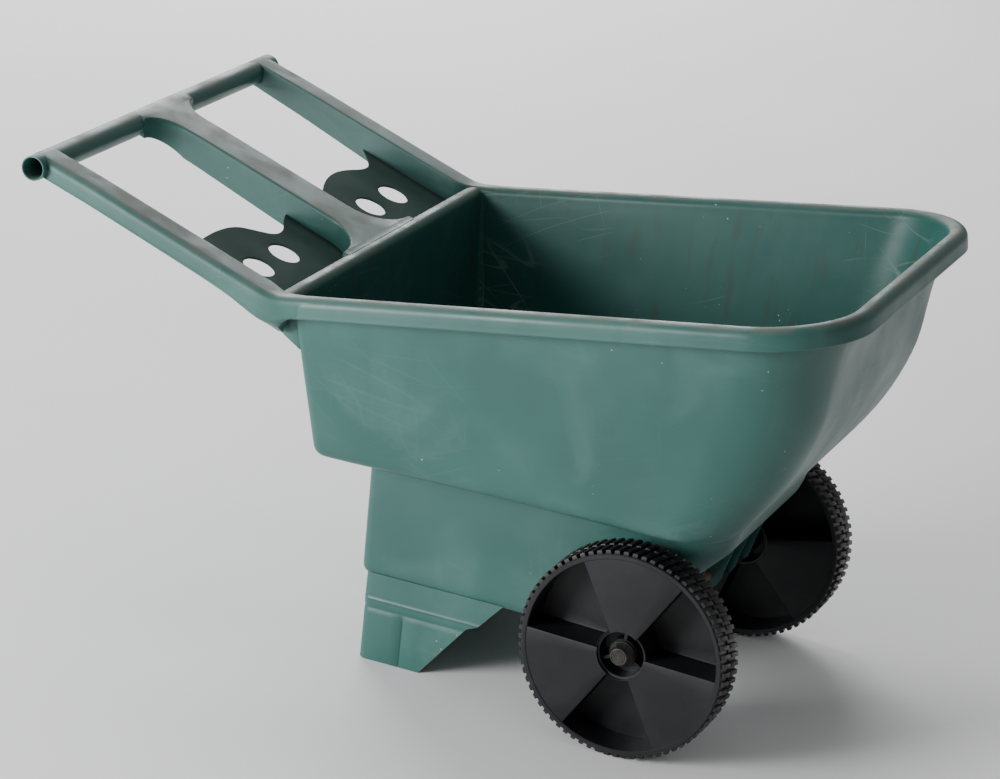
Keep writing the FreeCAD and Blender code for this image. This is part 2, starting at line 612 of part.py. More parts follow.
# ---------------------------------------------------------------- running gear
def make_saddle(label, side):
    """Three ribs under the raked front of the well, joined by a cradle, that hold the axle."""
    body = new_body(label)
    rake = "(dims.well_brow_height - dims.well_bottom) / (dims.well_brow - dims.well_front)"
    low = "dims.wheel_radius - dims.rib_drop"

    def on_rake(along):
        """A point on the well's raked face."""
        return along, f"dims.well_bottom + ({along} - dims.well_front) * {rake}"

    first = f"{side} * dims.rib_first"
    cradle = polygon(body, "cradle_profile", "XZ_Plane", [
        on_rake("-18"), ("-18", f"{low} + 4"), ("-11", low), ("9", low), ("11", f"{low} + 3"),
        ("-8", f"{low} + 4"), ("-14", f"{low} + 8"), on_rake("-14")],
        lift=f"-1 * {first}")
    pad(body, "cradle", cradle, "2 * dims.rib_pitch", reverse=side > 0)
    for index in range(3):
        rib = polygon(body, f"rib_{index + 1}_profile", "XZ_Plane", [
            on_rake("-24"), ("-12", low), ("9", low), ("15", f"{low} + 7"), on_rake("34")],
            lift=f"-1 * ({first} + {side} * {index} * dims.rib_pitch)")
        pad(body, f"rib_{index + 1}", rib, "dims.rib_thick", midplane=True)
    bore = disc(body, "bore_circle", "XZ_Plane", "dims.axle_radius + dims.running_gap",
                "0", "dims.wheel_radius")
    pocket(body, "bore", bore, "4 * dims.well_half", midplane=True)
    place(body)
    return body


def put_on_axle(body, side, out):
    """Place a sub-part drawn about the axle line, facing out, at a distance from the centre."""
    turned = 180 if side > 0 else 0
    body.Placement = FreeCAD.Placement(VECTOR(), FreeCAD.Rotation(VECTOR(0, 0, 1), turned))
    body.setExpression("Placement.Base.x", "dims.frame_shift * 1mm")
    body.setExpression("Placement.Base.y", f"{side} * ({out}) * 1mm")
    body.setExpression("Placement.Base.z", "dims.wheel_radius * 1mm")


def sector(body, name, inner, outer, middle, half_angle, margin, lift):
    """Ring sector about the axle line, its straight sides pulled in by a margin."""
    sketch = new_sketch(body, name, "XZ_Plane", lift, turn=middle)

    def edge_point(radius, sign):
        """Where a circle meets a side that is parallel to the sector's edge."""
        angle = f"({half_angle} * 1deg - asin(({margin}) / ({radius})))"
        return f"({radius}) * cos({angle})", f"{sign} * ({radius}) * sin({angle})"

    ends = [edge_point(inner, -1), edge_point(outer, -1),
            edge_point(outer, 1), edge_point(inner, 1)]
    spots = [VECTOR(size(along), size(up), 0) for along, up in ends]
    sketch.addGeometry(Part.LineSegment(spots[0], spots[1]), False)
    sketch.addGeometry(Part.LineSegment(spots[3], spots[2]), False)
    for radius, spot in ((outer, spots[2]), (inner, spots[3])):
        swing = math.atan2(spot.y, spot.x)
        circle = Part.Circle(VECTOR(), VECTOR(0, 0, 1), size(radius))
        sketch.addGeometry(Part.ArcOfCircle(circle, -swing, swing), False)
    joints = ((2, 1, 0, 2), (2, 2, 1, 2), (3, 1, 0, 1), (3, 2, 1, 1), (2, 3, -1, 1), (3, 3, -1, 1))
    for joint in joints:
        sketch.addConstraint(Sketcher.Constraint("Coincident", *joint))
    pin_point(sketch, 0, 1, *ends[0])
    pin_point(sketch, 0, 2, *ends[1])
    for end, expression in ((2, ends[2][1]), (1, ends[3][1])):
        found = sketch.addConstraint(
            Sketcher.Constraint("DistanceY", -1, 1, 1, end, size(expression)))
        sketch.setExpression(f"Constraints[{found}]", expression)
    return sketch


def make_wheel(label, side):
    """One-piece wheel: drum, webs that alternate between two planes, hub ring, sleeve, lugs."""
    body = new_body(label)
    width = "dims.wheel_width"
    pad(body, "blank", disc(body, "blank_circle", "XZ_Plane", "dims.drum_radius"), width)
    half = f"{180 / WEB_SECTORS / 2}"
    step = 360 / WEB_SECTORS
    face_cut = sector(body, "face_sector", "dims.hub_radius", "dims.drum_inner",
                      "dims.web_turn", half, "dims.web / 2", width)
    polar(body, "face_webs", pocket(body, "face_pocket", face_cut, f"{width} - dims.web"),
          WEB_SECTORS)
    back_cut = sector(body, "back_sector", "dims.hub_radius", "dims.drum_inner",
                      f"dims.web_turn + {step / 2}", half, "dims.web / 2", "0")
    back = pocket(body, "back_pocket", back_cut, f"{width} - dims.web", reverse=True)
    polar(body, "back_webs", back, WEB_SECTORS)
    recess = disc(body, "recess_circle", "XZ_Plane", "dims.hub_radius", lift=width)
    pocket(body, "hub_recess", recess, "dims.hub_recess")
    hub_cut = sector(body, "hub_sector", "dims.sleeve_radius", "dims.hub_inner",
                     "dims.web_turn", f"{step / 2}", "dims.web / 2", f"{width} - dims.hub_recess")
    polar(body, "hub_ribs", pocket(body, "hub_pocket", hub_cut, "20"), WEB_SECTORS)
    back_hub = sector(body, "back_hub_sector", "dims.sleeve_radius", "dims.hub_inner",
                      "dims.web_turn", f"{step / 2}", "dims.web / 2", "0")
    polar(body, "back_hub_ribs",
          pocket(body, "back_hub_pocket", back_hub, "18", reverse=True), WEB_SECTORS)
    inside = "dims.wheel_face - dims.wheel_width"
    boss = disc(body, "boss_circle", "XZ_Plane", "dims.sleeve_radius",
                lift=f"dims.sleeve_inside - ({inside})")
    pad(body, "boss", boss, f"{inside} - dims.sleeve_inside + 1")
    trim = disc(body, "trim_circle", "XZ_Plane", "dims.sleeve_radius + 0.01", lift=width)
    pocket(body, "sleeve_end", trim, "dims.wheel_face - dims.sleeve_outside")
    bore = disc(body, "bore_circle", "XZ_Plane", "dims.axle_radius + dims.running_gap",
                lift=width)
    pocket(body, "bore", bore, f"{width} + 40")
    for row in range(2):
        make_lug_row(body, row)
    put_on_axle(body, side, inside)
    return body


def make_lug_row(body, row):
    """One row of tread lugs; the second row is staggered by half a pitch."""
    pitch = 360 / TREAD_LUGS
    length = "(dims.wheel_width - 8) / 2"
    lug = new_sketch(body, f"lug_{row}_profile", "XZ_Plane",
                     f"2.4 + {row} * ({length} + 3.2)", turn=f"{pitch * row / 2}")
    base, tip = "dims.drum_radius - 1", "dims.wheel_radius"
    corners = [(base, "-3.4"), (tip, "-2.6"), (tip, "2.6"), (base, "3.4")]
    spots = [VECTOR(size(along), size(up), 0) for along, up in corners]
    for index in range(4):
        lug.addGeometry(Part.LineSegment(spots[index], spots[(index + 1) % 4]), False)
    for index in range(4):
        lug.addConstraint(Sketcher.Constraint("Coincident", index, 2, (index + 1) % 4, 1))
        pin_point(lug, index, 1, *corners[index])
    polar(body, f"lug_row_{row}", pad(body, f"lug_{row}", lug, length), TREAD_LUGS)


def make_axle():
    """Plain steel rod through both wheels and all saddle ribs."""
    body = new_body("axle_rod")
    circle = disc(body, "rod_circle", "XZ_Plane", "dims.axle_radius")
    pad(body, "rod", circle, "2 * dims.axle_half", midplane=True)
    round_edges(body, "ends", "1", lambda edge: edge.BoundBox.YLength < 0.1)
    put_on_axle(body, -1, "0")
    return body


def make_washer(label, side, inner_face):
    """Flat steel washer on the axle."""
    body = new_body(label)
    pad(body, "ring", disc(body, "ring_circle", "XZ_Plane", "dims.washer_radius"),
        "dims.washer_thick")
    hole = disc(body, "hole_circle", "XZ_Plane", "dims.axle_radius + dims.end_gap",
                lift="dims.washer_thick")
    pocket(body, "hole", hole, "dims.washer_thick + 1")
    put_on_axle(body, side, inner_face)
    return body


def make_cap(label, side):
    """Push-on cap: a flanged steel dome pressed over the end of the axle."""
    body = new_body(label)
    pad(body, "flange", disc(body, "flange_circle", "XZ_Plane", "dims.cap_flange"),
        "dims.cap_thick")
    dome = pad(body, "dome", disc(body, "dome_circle", "XZ_Plane", "dims.cap_dome"),
               "dims.cap_height")
    dome.setExpression("TaperAngle", "-1deg * dims.cap_taper")
    DOC.recompute()
    round_edges(body, "dome_edge", "dims.cap_thick",
                lambda edge: edge.BoundBox.YMax < 0.5 - size("dims.cap_height"))
    bore = disc(body, "bore_circle", "XZ_Plane", "dims.axle_radius")
    pocket(body, "bore", bore, "dims.cap_height - dims.cap_thick", reverse=True)
    put_on_axle(body, side, "dims.sleeve_outside + dims.end_gap + dims.washer_thick")
    return body


# ---------------------------------------------------------------- the whole cart
def make_parts():
    """Every sub-part of the cart."""
    parts = [make_tub_basin(), make_tub_rim(), make_rear_bar(), make_lower_well(),
             make_stand_foot(), make_crossbar(), make_handle_spar()]
    for word, side, back_edge in (("right", -1, PLATE_BACK_RIGHT), ("left", 1, PLATE_BACK_LEFT)):
        parts.append(make_tool_plate(f"tool_plate_{word}", side, plate_corners(back_edge)))
    for word, side in (("left", 1), ("right", -1)):
        inner_face = "dims.sleeve_inside - dims.end_gap - dims.washer_thick"
        outer_face = "dims.sleeve_outside + dims.end_gap"
        parts += [make_rail(f"handle_rail_{word}", side), make_gusset(f"rail_gusset_{word}", side),
                  make_saddle(f"axle_saddle_{word}", side), make_wheel(f"wheel_{word}", side),
                  make_washer(f"washer_inner_{word}", side, inner_face),
                  make_washer(f"washer_outer_{word}", side, outer_face),
                  make_cap(f"axle_cap_{word}", side)]
    parts.append(make_axle())
    return parts


def check(parts):
    """Stop if an object has failed or a sub-part has no sound shape."""
    DOC.recompute()
    for item in DOC.Objects:
        if "Invalid" in item.State or "Error" in item.State:
            raise RuntimeError(f"{item.Label} has failed: {item.State}")
    for part in parts:
        if part.Shape.isNull() or not part.Shape.isValid():
            raise RuntimeError(f"{part.Label} has no valid shape")


def export(parts):
    """Write each sub-part to a file named after its label."""
    os.makedirs("parts", exist_ok=True)
    for part in parts:
        part.Shape.exportStep(f"parts/{part.Label}.step")
        print(part.Label, round(part.Shape.Volume), len(part.Shape.Solids))


PARTS = make_parts()
check(PARTS)
export(PARTS)
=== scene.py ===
"""The looks of the garden cart: a moulded green tub and handle frame on two black wheels.

Shapes are worked out in millimetres about the axle's foot point on the ground, +X towards the
nose, +Y to the left, +Z up, and are put into the row frame when their meshes are made.
"""
import json
import math
import bmesh
import bpy
import numpy as np
from mathutils import Matrix, Vector


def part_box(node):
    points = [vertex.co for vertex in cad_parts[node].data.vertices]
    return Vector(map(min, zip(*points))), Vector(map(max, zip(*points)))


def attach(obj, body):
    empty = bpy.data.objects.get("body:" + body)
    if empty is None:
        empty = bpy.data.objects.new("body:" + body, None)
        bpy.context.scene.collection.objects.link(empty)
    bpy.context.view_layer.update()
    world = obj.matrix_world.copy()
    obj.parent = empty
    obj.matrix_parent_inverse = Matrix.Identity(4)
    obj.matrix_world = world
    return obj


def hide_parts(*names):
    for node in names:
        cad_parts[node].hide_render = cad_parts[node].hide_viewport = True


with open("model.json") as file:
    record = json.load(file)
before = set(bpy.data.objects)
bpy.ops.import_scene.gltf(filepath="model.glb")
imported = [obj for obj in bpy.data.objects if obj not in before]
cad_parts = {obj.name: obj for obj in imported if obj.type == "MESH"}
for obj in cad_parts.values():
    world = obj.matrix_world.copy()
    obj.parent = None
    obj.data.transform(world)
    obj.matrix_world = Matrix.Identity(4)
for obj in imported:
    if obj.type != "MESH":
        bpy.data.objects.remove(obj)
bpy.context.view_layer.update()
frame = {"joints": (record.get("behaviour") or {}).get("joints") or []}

# ------------ sizes, in mm about the foot point
SHIFT = 1000 * frame["joints"][0]["pos_m"][0]
AXLE_HEIGHT = 1000 * frame["joints"][0]["pos_m"][2]


def node_box(node):
    """Lowest and highest corner of a CAD node, in millimetres about the axle's foot point."""
    low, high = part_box(node)
    offset = Vector((SHIFT, 0, 0))
    return 1000 * low - offset, 1000 * high - offset


WALL = 4.5
TUB_LOW = node_box("tub_basin")[0]
WELL_LOW = node_box("lower_well")[0]
RIM_HIGH = node_box("tub_rim")[1]
BAR_LOW, BAR_HIGH = node_box("rear_bar")
CROSSBAR_LOW, CROSSBAR_HIGH = node_box("handle_crossbar")
RAIL_LOW, RAIL_HIGH = node_box("handle_rail_left")
FOOT_LOW, FOOT_HIGH = node_box("stand_foot")
WHEEL_LOW, WHEEL_HIGH = node_box("wheel_left")

# The tub's mouth rises towards the nose, the handle towards the crossbar.
MOUTH_SLOPE = math.radians(9)
HANDLE_SLOPE = math.radians(19)

# The ledge round the well, where the outer walls start, and the well's raked front face.
LEDGE_HEIGHT = TUB_LOW.z
LEDGE_REAR = -408
LEDGE_FRONT = 98
LEDGE_SAG = 2.8
LEDGE_HALF = 240
NOSE_BOW = 29
RAKE_FOOT = -45
RAKE_SLOPE = 130 / 128

# The rolled rim, whose skirt is deeper along the rear bar.
RIM_HALF_WIDTH = 12
RIM_ROLL = 11
CROWN_HALF = RIM_HIGH.y - RIM_HALF_WIDTH
SKIRT = 25
BAR_SKIRT = 40
RIM_BACK = BAR_LOW.x
RIM_TOP_AT_BACK = BAR_HIGH.z

# The handle's top face falls away from its height over the rear bar to wrap round the crossbar.
HANDLE_TOP_AT_BACK = 478.6
BAR_WRAP = (CROSSBAR_HIGH.z - CROSSBAR_LOW.z) / 2 - 0.1
CROSSBAR_RADIUS = BAR_WRAP - 0.2
ROUND_STEPS = 48
CROSSBAR_X = (CROSSBAR_LOW.x + CROSSBAR_HIGH.x) / 2
CROSSBAR_Z = (CROSSBAR_LOW.z + CROSSBAR_HIGH.z) / 2
BAR_DIP = HANDLE_TOP_AT_BACK - CROSSBAR_Z + math.tan(HANDLE_SLOPE) * (RIM_BACK - CROSSBAR_X) \
    - BAR_WRAP / math.cos(HANDLE_SLOPE)


# ------------ mesh helpers
def add_object(name, data):
    """A new object in the scene."""
    added = bpy.data.objects.new(name, data)
    bpy.context.scene.collection.objects.link(added)
    return added


def evaluated_mesh(source):
    """A new mesh of an object as its modifiers or curve settings leave it."""
    graph = bpy.context.evaluated_depsgraph_get()
    return bpy.data.meshes.new_from_object(source.evaluated_get(graph))


def finish_mesh(name, builder, slot, body="root", sharp=38):
    """Turn a bmesh in millimetres into a smooth-shaded piece that rides on a CAD body."""
    bmesh.ops.remove_doubles(builder, verts=builder.verts, dist=0.01)
    bmesh.ops.dissolve_degenerate(builder, edges=builder.edges, dist=0.005)
    bmesh.ops.recalc_face_normals(builder, faces=builder.faces)
    builder.transform(Matrix.Translation((SHIFT / 1000, 0, 0)) @ Matrix.Scale(0.001, 4))
    mesh = bpy.data.meshes.new(name)
    builder.to_mesh(mesh)
    builder.free()
    mesh.shade_smooth()
    mesh.set_sharp_from_angle(angle=math.radians(sharp))
    piece = add_object(name, mesh)
    mesh.materials.append(MATERIALS[slot])
    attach(piece, body)
    return piece


def add_loops(builder, loops, closed=True, ends="open"):
    """Skin a row of point loops.  ends: open, joined (last to first) or filled."""
    count = len(loops[0])
    rows = [[builder.verts.new(point) for point in loop] for loop in loops]
    turns = count if closed else count - 1
    pairs = list(zip(rows[:-1], rows[1:]))
    if ends == "joined":
        pairs.append((rows[-1], rows[0]))
    for low, high in pairs:
        for index in range(turns):
            after = (index + 1) % count
            builder.faces.new((low[index], low[after], high[after], high[index]))
    if ends == "filled":
        builder.faces.new(rows[0][::-1])
        builder.faces.new(rows[-1])
    return rows


def soft_slab(outline, middle, thick, edge, segments):
    """A flat web with rounded edges: an (x, z) outline that is thick from side to side."""
    builder = bmesh.new()
    rows = [[(x, middle + out, z) for x, z in outline] for out in (-thick / 2, thick / 2)]
    add_loops(builder, rows, ends="filled")
    bmesh.ops.bevel(builder, geom=list(builder.edges), offset=edge, segments=segments,
                    affect="EDGES", profile=0.5)
    return builder


def fill_across(builder, row, steps):
    """Close a loop that is symmetric about X with strips of quads from side to side."""
    count = len(row)
    strips = []
    for index in range(1, count // 2):
        right, left = row[index], row[count - index]
        inner = [builder.verts.new(right.co.lerp(left.co, step / steps))
                 for step in range(1, steps)]
        strips.append([right, *inner, left])
    for first, second in zip(strips[:-1], strips[1:]):
        for index in range(steps):
            builder.faces.new((first[index], first[index + 1], second[index + 1], second[index]))
    for tip, strip in ((row[0], strips[0]), (row[count // 2], strips[-1])):
        for index in range(steps):
            builder.faces.new((tip, strip[index], strip[index + 1]))


def close_ends(builder):
    """Fill the open rings of a turned shape."""
    rings = [edge for edge in builder.edges if edge.is_boundary]
    bmesh.ops.holes_fill(builder, edges=rings, sides=80)


def curve_through(start, corner, end, steps):
    """Points of the smooth curve that leaves start towards corner and arrives at end."""
    shares = np.linspace(0, 1, steps + 1)
    return [(1 - s) ** 2 * start + 2 * s * (1 - s) * corner + s ** 2 * end for s in shares]


def soft_low(first, second, softness):
    """The lower of two values, with the corner between them rounded off."""
    return (first + second) / 2 - np.sqrt(((first - second) / 2) ** 2 + softness ** 2)


def soft_high(first, second, softness):
    """The higher of two values, with the corner between them rounded off."""
    return -soft_low(-first, -second, softness)


def ease(value, low, high):
    """Smooth step from 0 at low to 1 at high."""
    share = np.clip((value - low) / (high - low), 0, 1)
    return share * share * (3 - 2 * share)


def plan(rear, front, half, rear_radius, front_radius):
    """Rounded rectangle as (x, y) rows, from the middle of its back round the right side."""

    def straight(start, end, steps):
        return [start + (end - start) * step / steps for step in range(steps)]

    def bend(centre, radius, first_angle, steps):
        angles = np.radians(first_angle + 90 * np.arange(steps) / steps)
        return list(centre + radius * np.column_stack([np.cos(angles), np.sin(angles)]))

    rear_x, rear_y = rear + rear_radius, rear_radius - half
    front_x, front_y = front - front_radius, front_radius - half
    right = straight(np.array((rear, 0.0)), np.array((rear, rear_y)), 10)
    right += bend((rear_x, rear_y), rear_radius, 180, 8)
    right += straight(np.array((rear_x, -half)), np.array((front_x, -half)), 36)
    right += bend((front_x, front_y), front_radius, 270, 24)
    right += straight(np.array((front, front_y)), np.array((front, 0.0)), 12)
    right.append((front, 0))
    points = np.array(right)
    left = points[-2:0:-1] * (1, -1)
    return np.vstack([points, left])


def level(outline, height):
    """A plan outline at one height."""
    return np.column_stack([outline, np.full(len(outline), float(height))])


def lathe(profile, side, inside, segments=96):
    """Loops of a closed (radius, width) profile turned about the axle."""
    return [[on_wheel(2 * math.pi * index / segments, radius, width, side, inside)
             for radius, width in profile] for index in range(segments)]


def ring_profile(inner, outer, low, high, inner_soft, outer_soft):
    """(radius, width) outline of a ring with its four corners cut."""
    return [(inner, low + inner_soft), (inner + inner_soft, low), (outer - outer_soft, low),
            (outer, low + outer_soft), (outer, high - outer_soft), (outer - outer_soft, high),
            (inner + inner_soft, high), (inner, high - inner_soft)]


def on_wheel(angle, radius, width, side, inside):
    """A point of a wheel: angle about the axle as its outer face shows it, distance outwards."""
    return Vector((-side * radius * math.cos(angle), side * (inside + width),
                   AXLE_HEIGHT + radius * math.sin(angle)))


# ------------ materials
class Graph:
    """A new material and short ways to add nodes to it."""

    def __init__(self, name):
        self.material = bpy.data.materials.new(name)
        self.material.use_nodes = True
        self.tree = self.material.node_tree
        self.coordinates = self.tree.nodes.new("ShaderNodeTexCoord")
        self.place = self.coordinates.outputs["Object"]

    def surface(self, socket, value):
        """Feed one socket of the material's shader."""
        self.link(value, self.tree.nodes["Principled BSDF"].inputs[socket])

    def link(self, value, socket):
        """Feed a socket from an output, or set it from a number."""
        if isinstance(value, bpy.types.NodeSocket):
            self.tree.links.new(value, socket)
        else:
            socket.default_value = value

    def math(self, operation, first, second=0.0, clamp=False):
        node = self.tree.nodes.new("ShaderNodeMath")
        node.operation = operation
        node.use_clamp = clamp
        for socket, value in zip(node.inputs, (first, second)):
            self.link(value, socket)
        return node.outputs[0]

    def times(self, first, second):
        return self.math("MULTIPLY", first, second)

    def remap(self, value, low, high, to_low=0.0, to_high=1.0):
        node = self.tree.nodes.new("ShaderNodeMapRange")
        node.interpolation_type = "SMOOTHSTEP"
        for socket, number in zip(node.inputs, (value, low, high, to_low, to_high)):
            self.link(number, socket)
        return node.outputs[0]

    def noise(self, scale, detail=3.0, stretch=(1, 1, 1), turn=(0, 0, 0), warp=0.0):
        node = self.tree.nodes.new("ShaderNodeTexNoise")
        node.inputs["Scale"].default_value = scale
        node.inputs["Detail"].default_value = detail
        node.inputs["Distortion"].default_value = warp
        self.link(self.mapped(stretch, turn), node.inputs["Vector"])
        return node.outputs[0]

    def cells(self, scale):
        """Distance from the middles of scattered cells."""
        node = self.tree.nodes.new("ShaderNodeTexVoronoi")
        node.inputs["Scale"].default_value = scale
        self.link(self.place, node.inputs["Vector"])
        return node.outputs["Distance"]

    def mapped(self, stretch, turn):
        """The place, turned by degrees and drawn out where stretch is below 1."""
        if stretch == (1, 1, 1) and turn == (0, 0, 0):
            return self.place
        node = self.tree.nodes.new("ShaderNodeMapping")
        node.vector_type = "TEXTURE"
        node.inputs["Scale"].default_value = [1 / part for part in stretch]
        node.inputs["Rotation"].default_value = [math.radians(angle) for angle in turn]
        self.link(self.place, node.inputs["Vector"])
        return node.outputs[0]

    def split(self, vector):
        node = self.tree.nodes.new("ShaderNodeSeparateXYZ")
        self.link(vector, node.inputs[0])
        return node.outputs

    def blend(self, share, first, second):
        node = self.tree.nodes.new("ShaderNodeMix")
        node.data_type = "RGBA"
        self.link(share, node.inputs["Factor"])
        for key, colour in (("A", first), ("B", second)):
            socket = [item for item in node.inputs if item.name == key and item.type == "RGBA"][0]
            self.link(colour, socket)
        return [item for item in node.outputs if item.type == "RGBA"][0]

    def bump(self, height, strength, distance, before=None):
        node = self.tree.nodes.new("ShaderNodeBump")
        node.inputs["Strength"].default_value = strength
        node.inputs["Distance"].default_value = distance
        self.link(height, node.inputs["Height"])
        if before is not None:
            self.link(before, node.inputs["Normal"])
        return node.outputs[0]

    def facing_up(self):
        """How far the surface faces up, from -1 to 1."""
        return self.split(self.coordinates.outputs["Normal"])["Z"]

    def facing_in(self):
        """1 where an upright surface faces the middle of the tub, falling to 0 elsewhere."""
        middle, tub_rear, fade = -150, -470, 20
        place = self.split(self.place)
        normal = self.split(self.coordinates.outputs["Normal"])
        along = self.math("SUBTRACT", place["X"], (SHIFT + middle) / 1000)
        product = self.math("ADD", self.times(along, normal["X"]),
                            self.times(place["Y"], normal["Y"]))
        in_tub = self.remap(place["X"], (SHIFT + tub_rear) / 1000,
                            (SHIFT + tub_rear + fade) / 1000)
        return self.times(self.remap(product, 0.0, -0.15), in_tub)


def scratches(graph, scale, turn, cut, gate_scale):
    """Thin, gently bent lines in patches, on surfaces that face sideways."""
    lines = graph.noise(scale, 0.0, (0.03, 1, 1), turn, 0.12)
    thin = graph.math("ABSOLUTE", graph.math("SUBTRACT", lines, 0.5))
    mark = graph.remap(thin, 0.0, cut, 1.0, 0.0)
    gate = graph.remap(graph.noise(gate_scale, 2.0), 0.5, 0.66)
    sideways = graph.math("ABSOLUTE", graph.split(graph.coordinates.outputs["Normal"])["Y"])
    gate = graph.times(gate, graph.remap(sideways, 0.6, 0.85))
    return graph.times(mark, gate)


def arcs(graph, centre, scale):
    """Wide, faint sweeps about a point, broken into short lengths."""
    node = graph.tree.nodes.new("ShaderNodeTexWave")
    node.wave_type = "RINGS"
    node.rings_direction = "SPHERICAL"
    node.inputs["Scale"].default_value = scale
    node.inputs["Distortion"].default_value = 0.5
    node.inputs["Detail"].default_value = 0.0
    node.inputs["Detail Scale"].default_value = 1.0
    shifted = graph.tree.nodes.new("ShaderNodeMapping")
    shifted.inputs["Location"].default_value = centre
    graph.link(graph.place, shifted.inputs["Vector"])
    graph.link(shifted.outputs[0], node.inputs["Vector"])
    near = graph.math("ABSOLUTE", graph.math("SUBTRACT", node.outputs["Fac"], 0.5))
    line = graph.remap(near, 0.0, 0.035, 1.0, 0.0)
    gate = graph.remap(graph.noise(scale, 2.0), 0.52, 0.60)
    return graph.times(line, gate)


def flecks(graph, scale, size, patch_scale, patch_from):
    """Small round marks that keep to patches."""
    mark = graph.remap(graph.cells(scale), 0.05, size, 1.0, 0.0)
    return graph.times(mark, graph.remap(graph.noise(patch_scale), patch_from, 0.66))


# Colours of the green plastic. The inside green and the last, dark grey-brown one are painted shade,
# not the plastic's own colour.
GREEN = {
    "base": (0.033, 0.112, 0.097, 1), "deep": (0.023, 0.087, 0.077, 1),
    "pale": (0.068, 0.154, 0.140, 1), "inside": (0.015, 0.070, 0.060, 1),
    "scratch": (0.13, 0.21, 0.19, 1), "nick": (0.42, 0.50, 0.46, 1),
    "dirt": (0.040, 0.052, 0.040, 1), "dust": (0.120, 0.108, 0.088, 1),
    "painted_shade": (0.026, 0.027, 0.022, 1),
}


def mottled_green(graph):
    """The plastic's own colour: two greens, pale clouds and faint upright streaks."""
    tone = graph.remap(graph.noise(4.0, 5.0), 0.3, 0.7)
    colour = graph.blend(tone, GREEN["deep"], GREEN["base"])
    cloud = graph.remap(graph.noise(11.0, 6.0, warp=0.8), 0.45, 0.8, 0.0, 0.40)
    colour = graph.blend(cloud, colour, GREEN["pale"])
    streaks = graph.remap(graph.noise(40.0, 4.0, (1, 1, 0.07), warp=0.2), 0.52, 0.80, 0.0, 0.40)
    return graph.blend(streaks, colour, GREEN["deep"])


def wear_marks(graph):
    """Scratches in four directions and two sets of curved sweeps, as one mask."""
    marks = [scratches(graph, scale, turn, cut, 4.0 + scale / 20)
             for scale, turn, cut in ((26, (0, 12, 4), 0.020), (34, (0, -24, -6), 0.018),
                                      (22, (0, 38, 0), 0.018), (30, (0, 80, 10), 0.015))]
    marks += [graph.times(arcs(graph, centre, scale), 0.8)
              for centre, scale in (((0.1, 0.3, -1.1), 5.0), ((-0.5, 0.2, 0.5), 6.0))]
    mask = marks[0]
    for mark in marks[1:]:
        mask = graph.math("MAXIMUM", mask, mark)
    return mask


def green_plastic(name, dustiness, shade=0.0):
    """Satin moulded poly, mottled and worn, dusty where it faces up, with painted shade on the tub's
    inner walls; shade (0 to 1) paints in more shade and dulls it.
    """
    graph = Graph(name)
    marks = wear_marks(graph)
    inward = graph.facing_in()
    # Painted shade: walls that face into the tub are blended towards a darker green.
    colour = graph.blend(graph.times(inward, 0.45), mottled_green(graph), GREEN["inside"])
    visible = graph.remap(inward, 0.0, 1.0, 0.10, 0.60)
    colour = graph.blend(graph.times(marks, visible), colour, GREEN["scratch"])
    runs = graph.remap(graph.noise(75.0, 5.0, (1, 1, 0.09)), 0.54, 0.72, 0.0, 0.45)
    colour = graph.blend(graph.times(runs, inward), colour, GREEN["dirt"])
    # Painted shade: with shade above 0 the colour is blended towards a dark grey-brown, for the parts
    # under the handle.
    if shade:
        colour = graph.blend(shade, colour, GREEN["painted_shade"])
    settled = graph.remap(graph.facing_up(), 0.35, 0.98)
    grime = graph.remap(graph.noise(24.0, 8.0, warp=0.5), 0.34, 0.70, 0.12, 1.0)
    dust = graph.times(graph.times(settled, grime), dustiness)
    colour = graph.blend(dust, colour, GREEN["dust"])
    nicks = flecks(graph, 85.0, 0.09, 17.0, 0.58)
    colour = graph.blend(graph.times(nicks, 0.8), colour, GREEN["nick"])
    graph.surface("Base Color", colour)
    rough = graph.remap(graph.noise(9.0, 6.0), 0.3, 0.7, 0.34, 0.47)
    rough = graph.math("ADD", rough, graph.times(dust, 0.35))
    rough = graph.math("ADD", rough, graph.times(marks, 0.12))
    rough = graph.math("ADD", rough, 0.6 * shade, clamp=True)
    graph.surface("Roughness", rough)
    grain = graph.bump(graph.noise(700.0, 2.0), 0.10, 0.0003)
    waves = graph.bump(graph.noise(14.0, 2.0), 0.22, 0.004, grain)
    cuts = graph.bump(graph.math("SUBTRACT", 1.0, marks), 0.25, 0.0002, waves)
    graph.surface("Normal", cuts)
    shine = graph.remap(inward, 0.0, 1.0, 0.45 - 0.6 * shade, 0.18 - 0.2 * shade)
    graph.surface("Specular IOR Level", shine)
    return graph.material


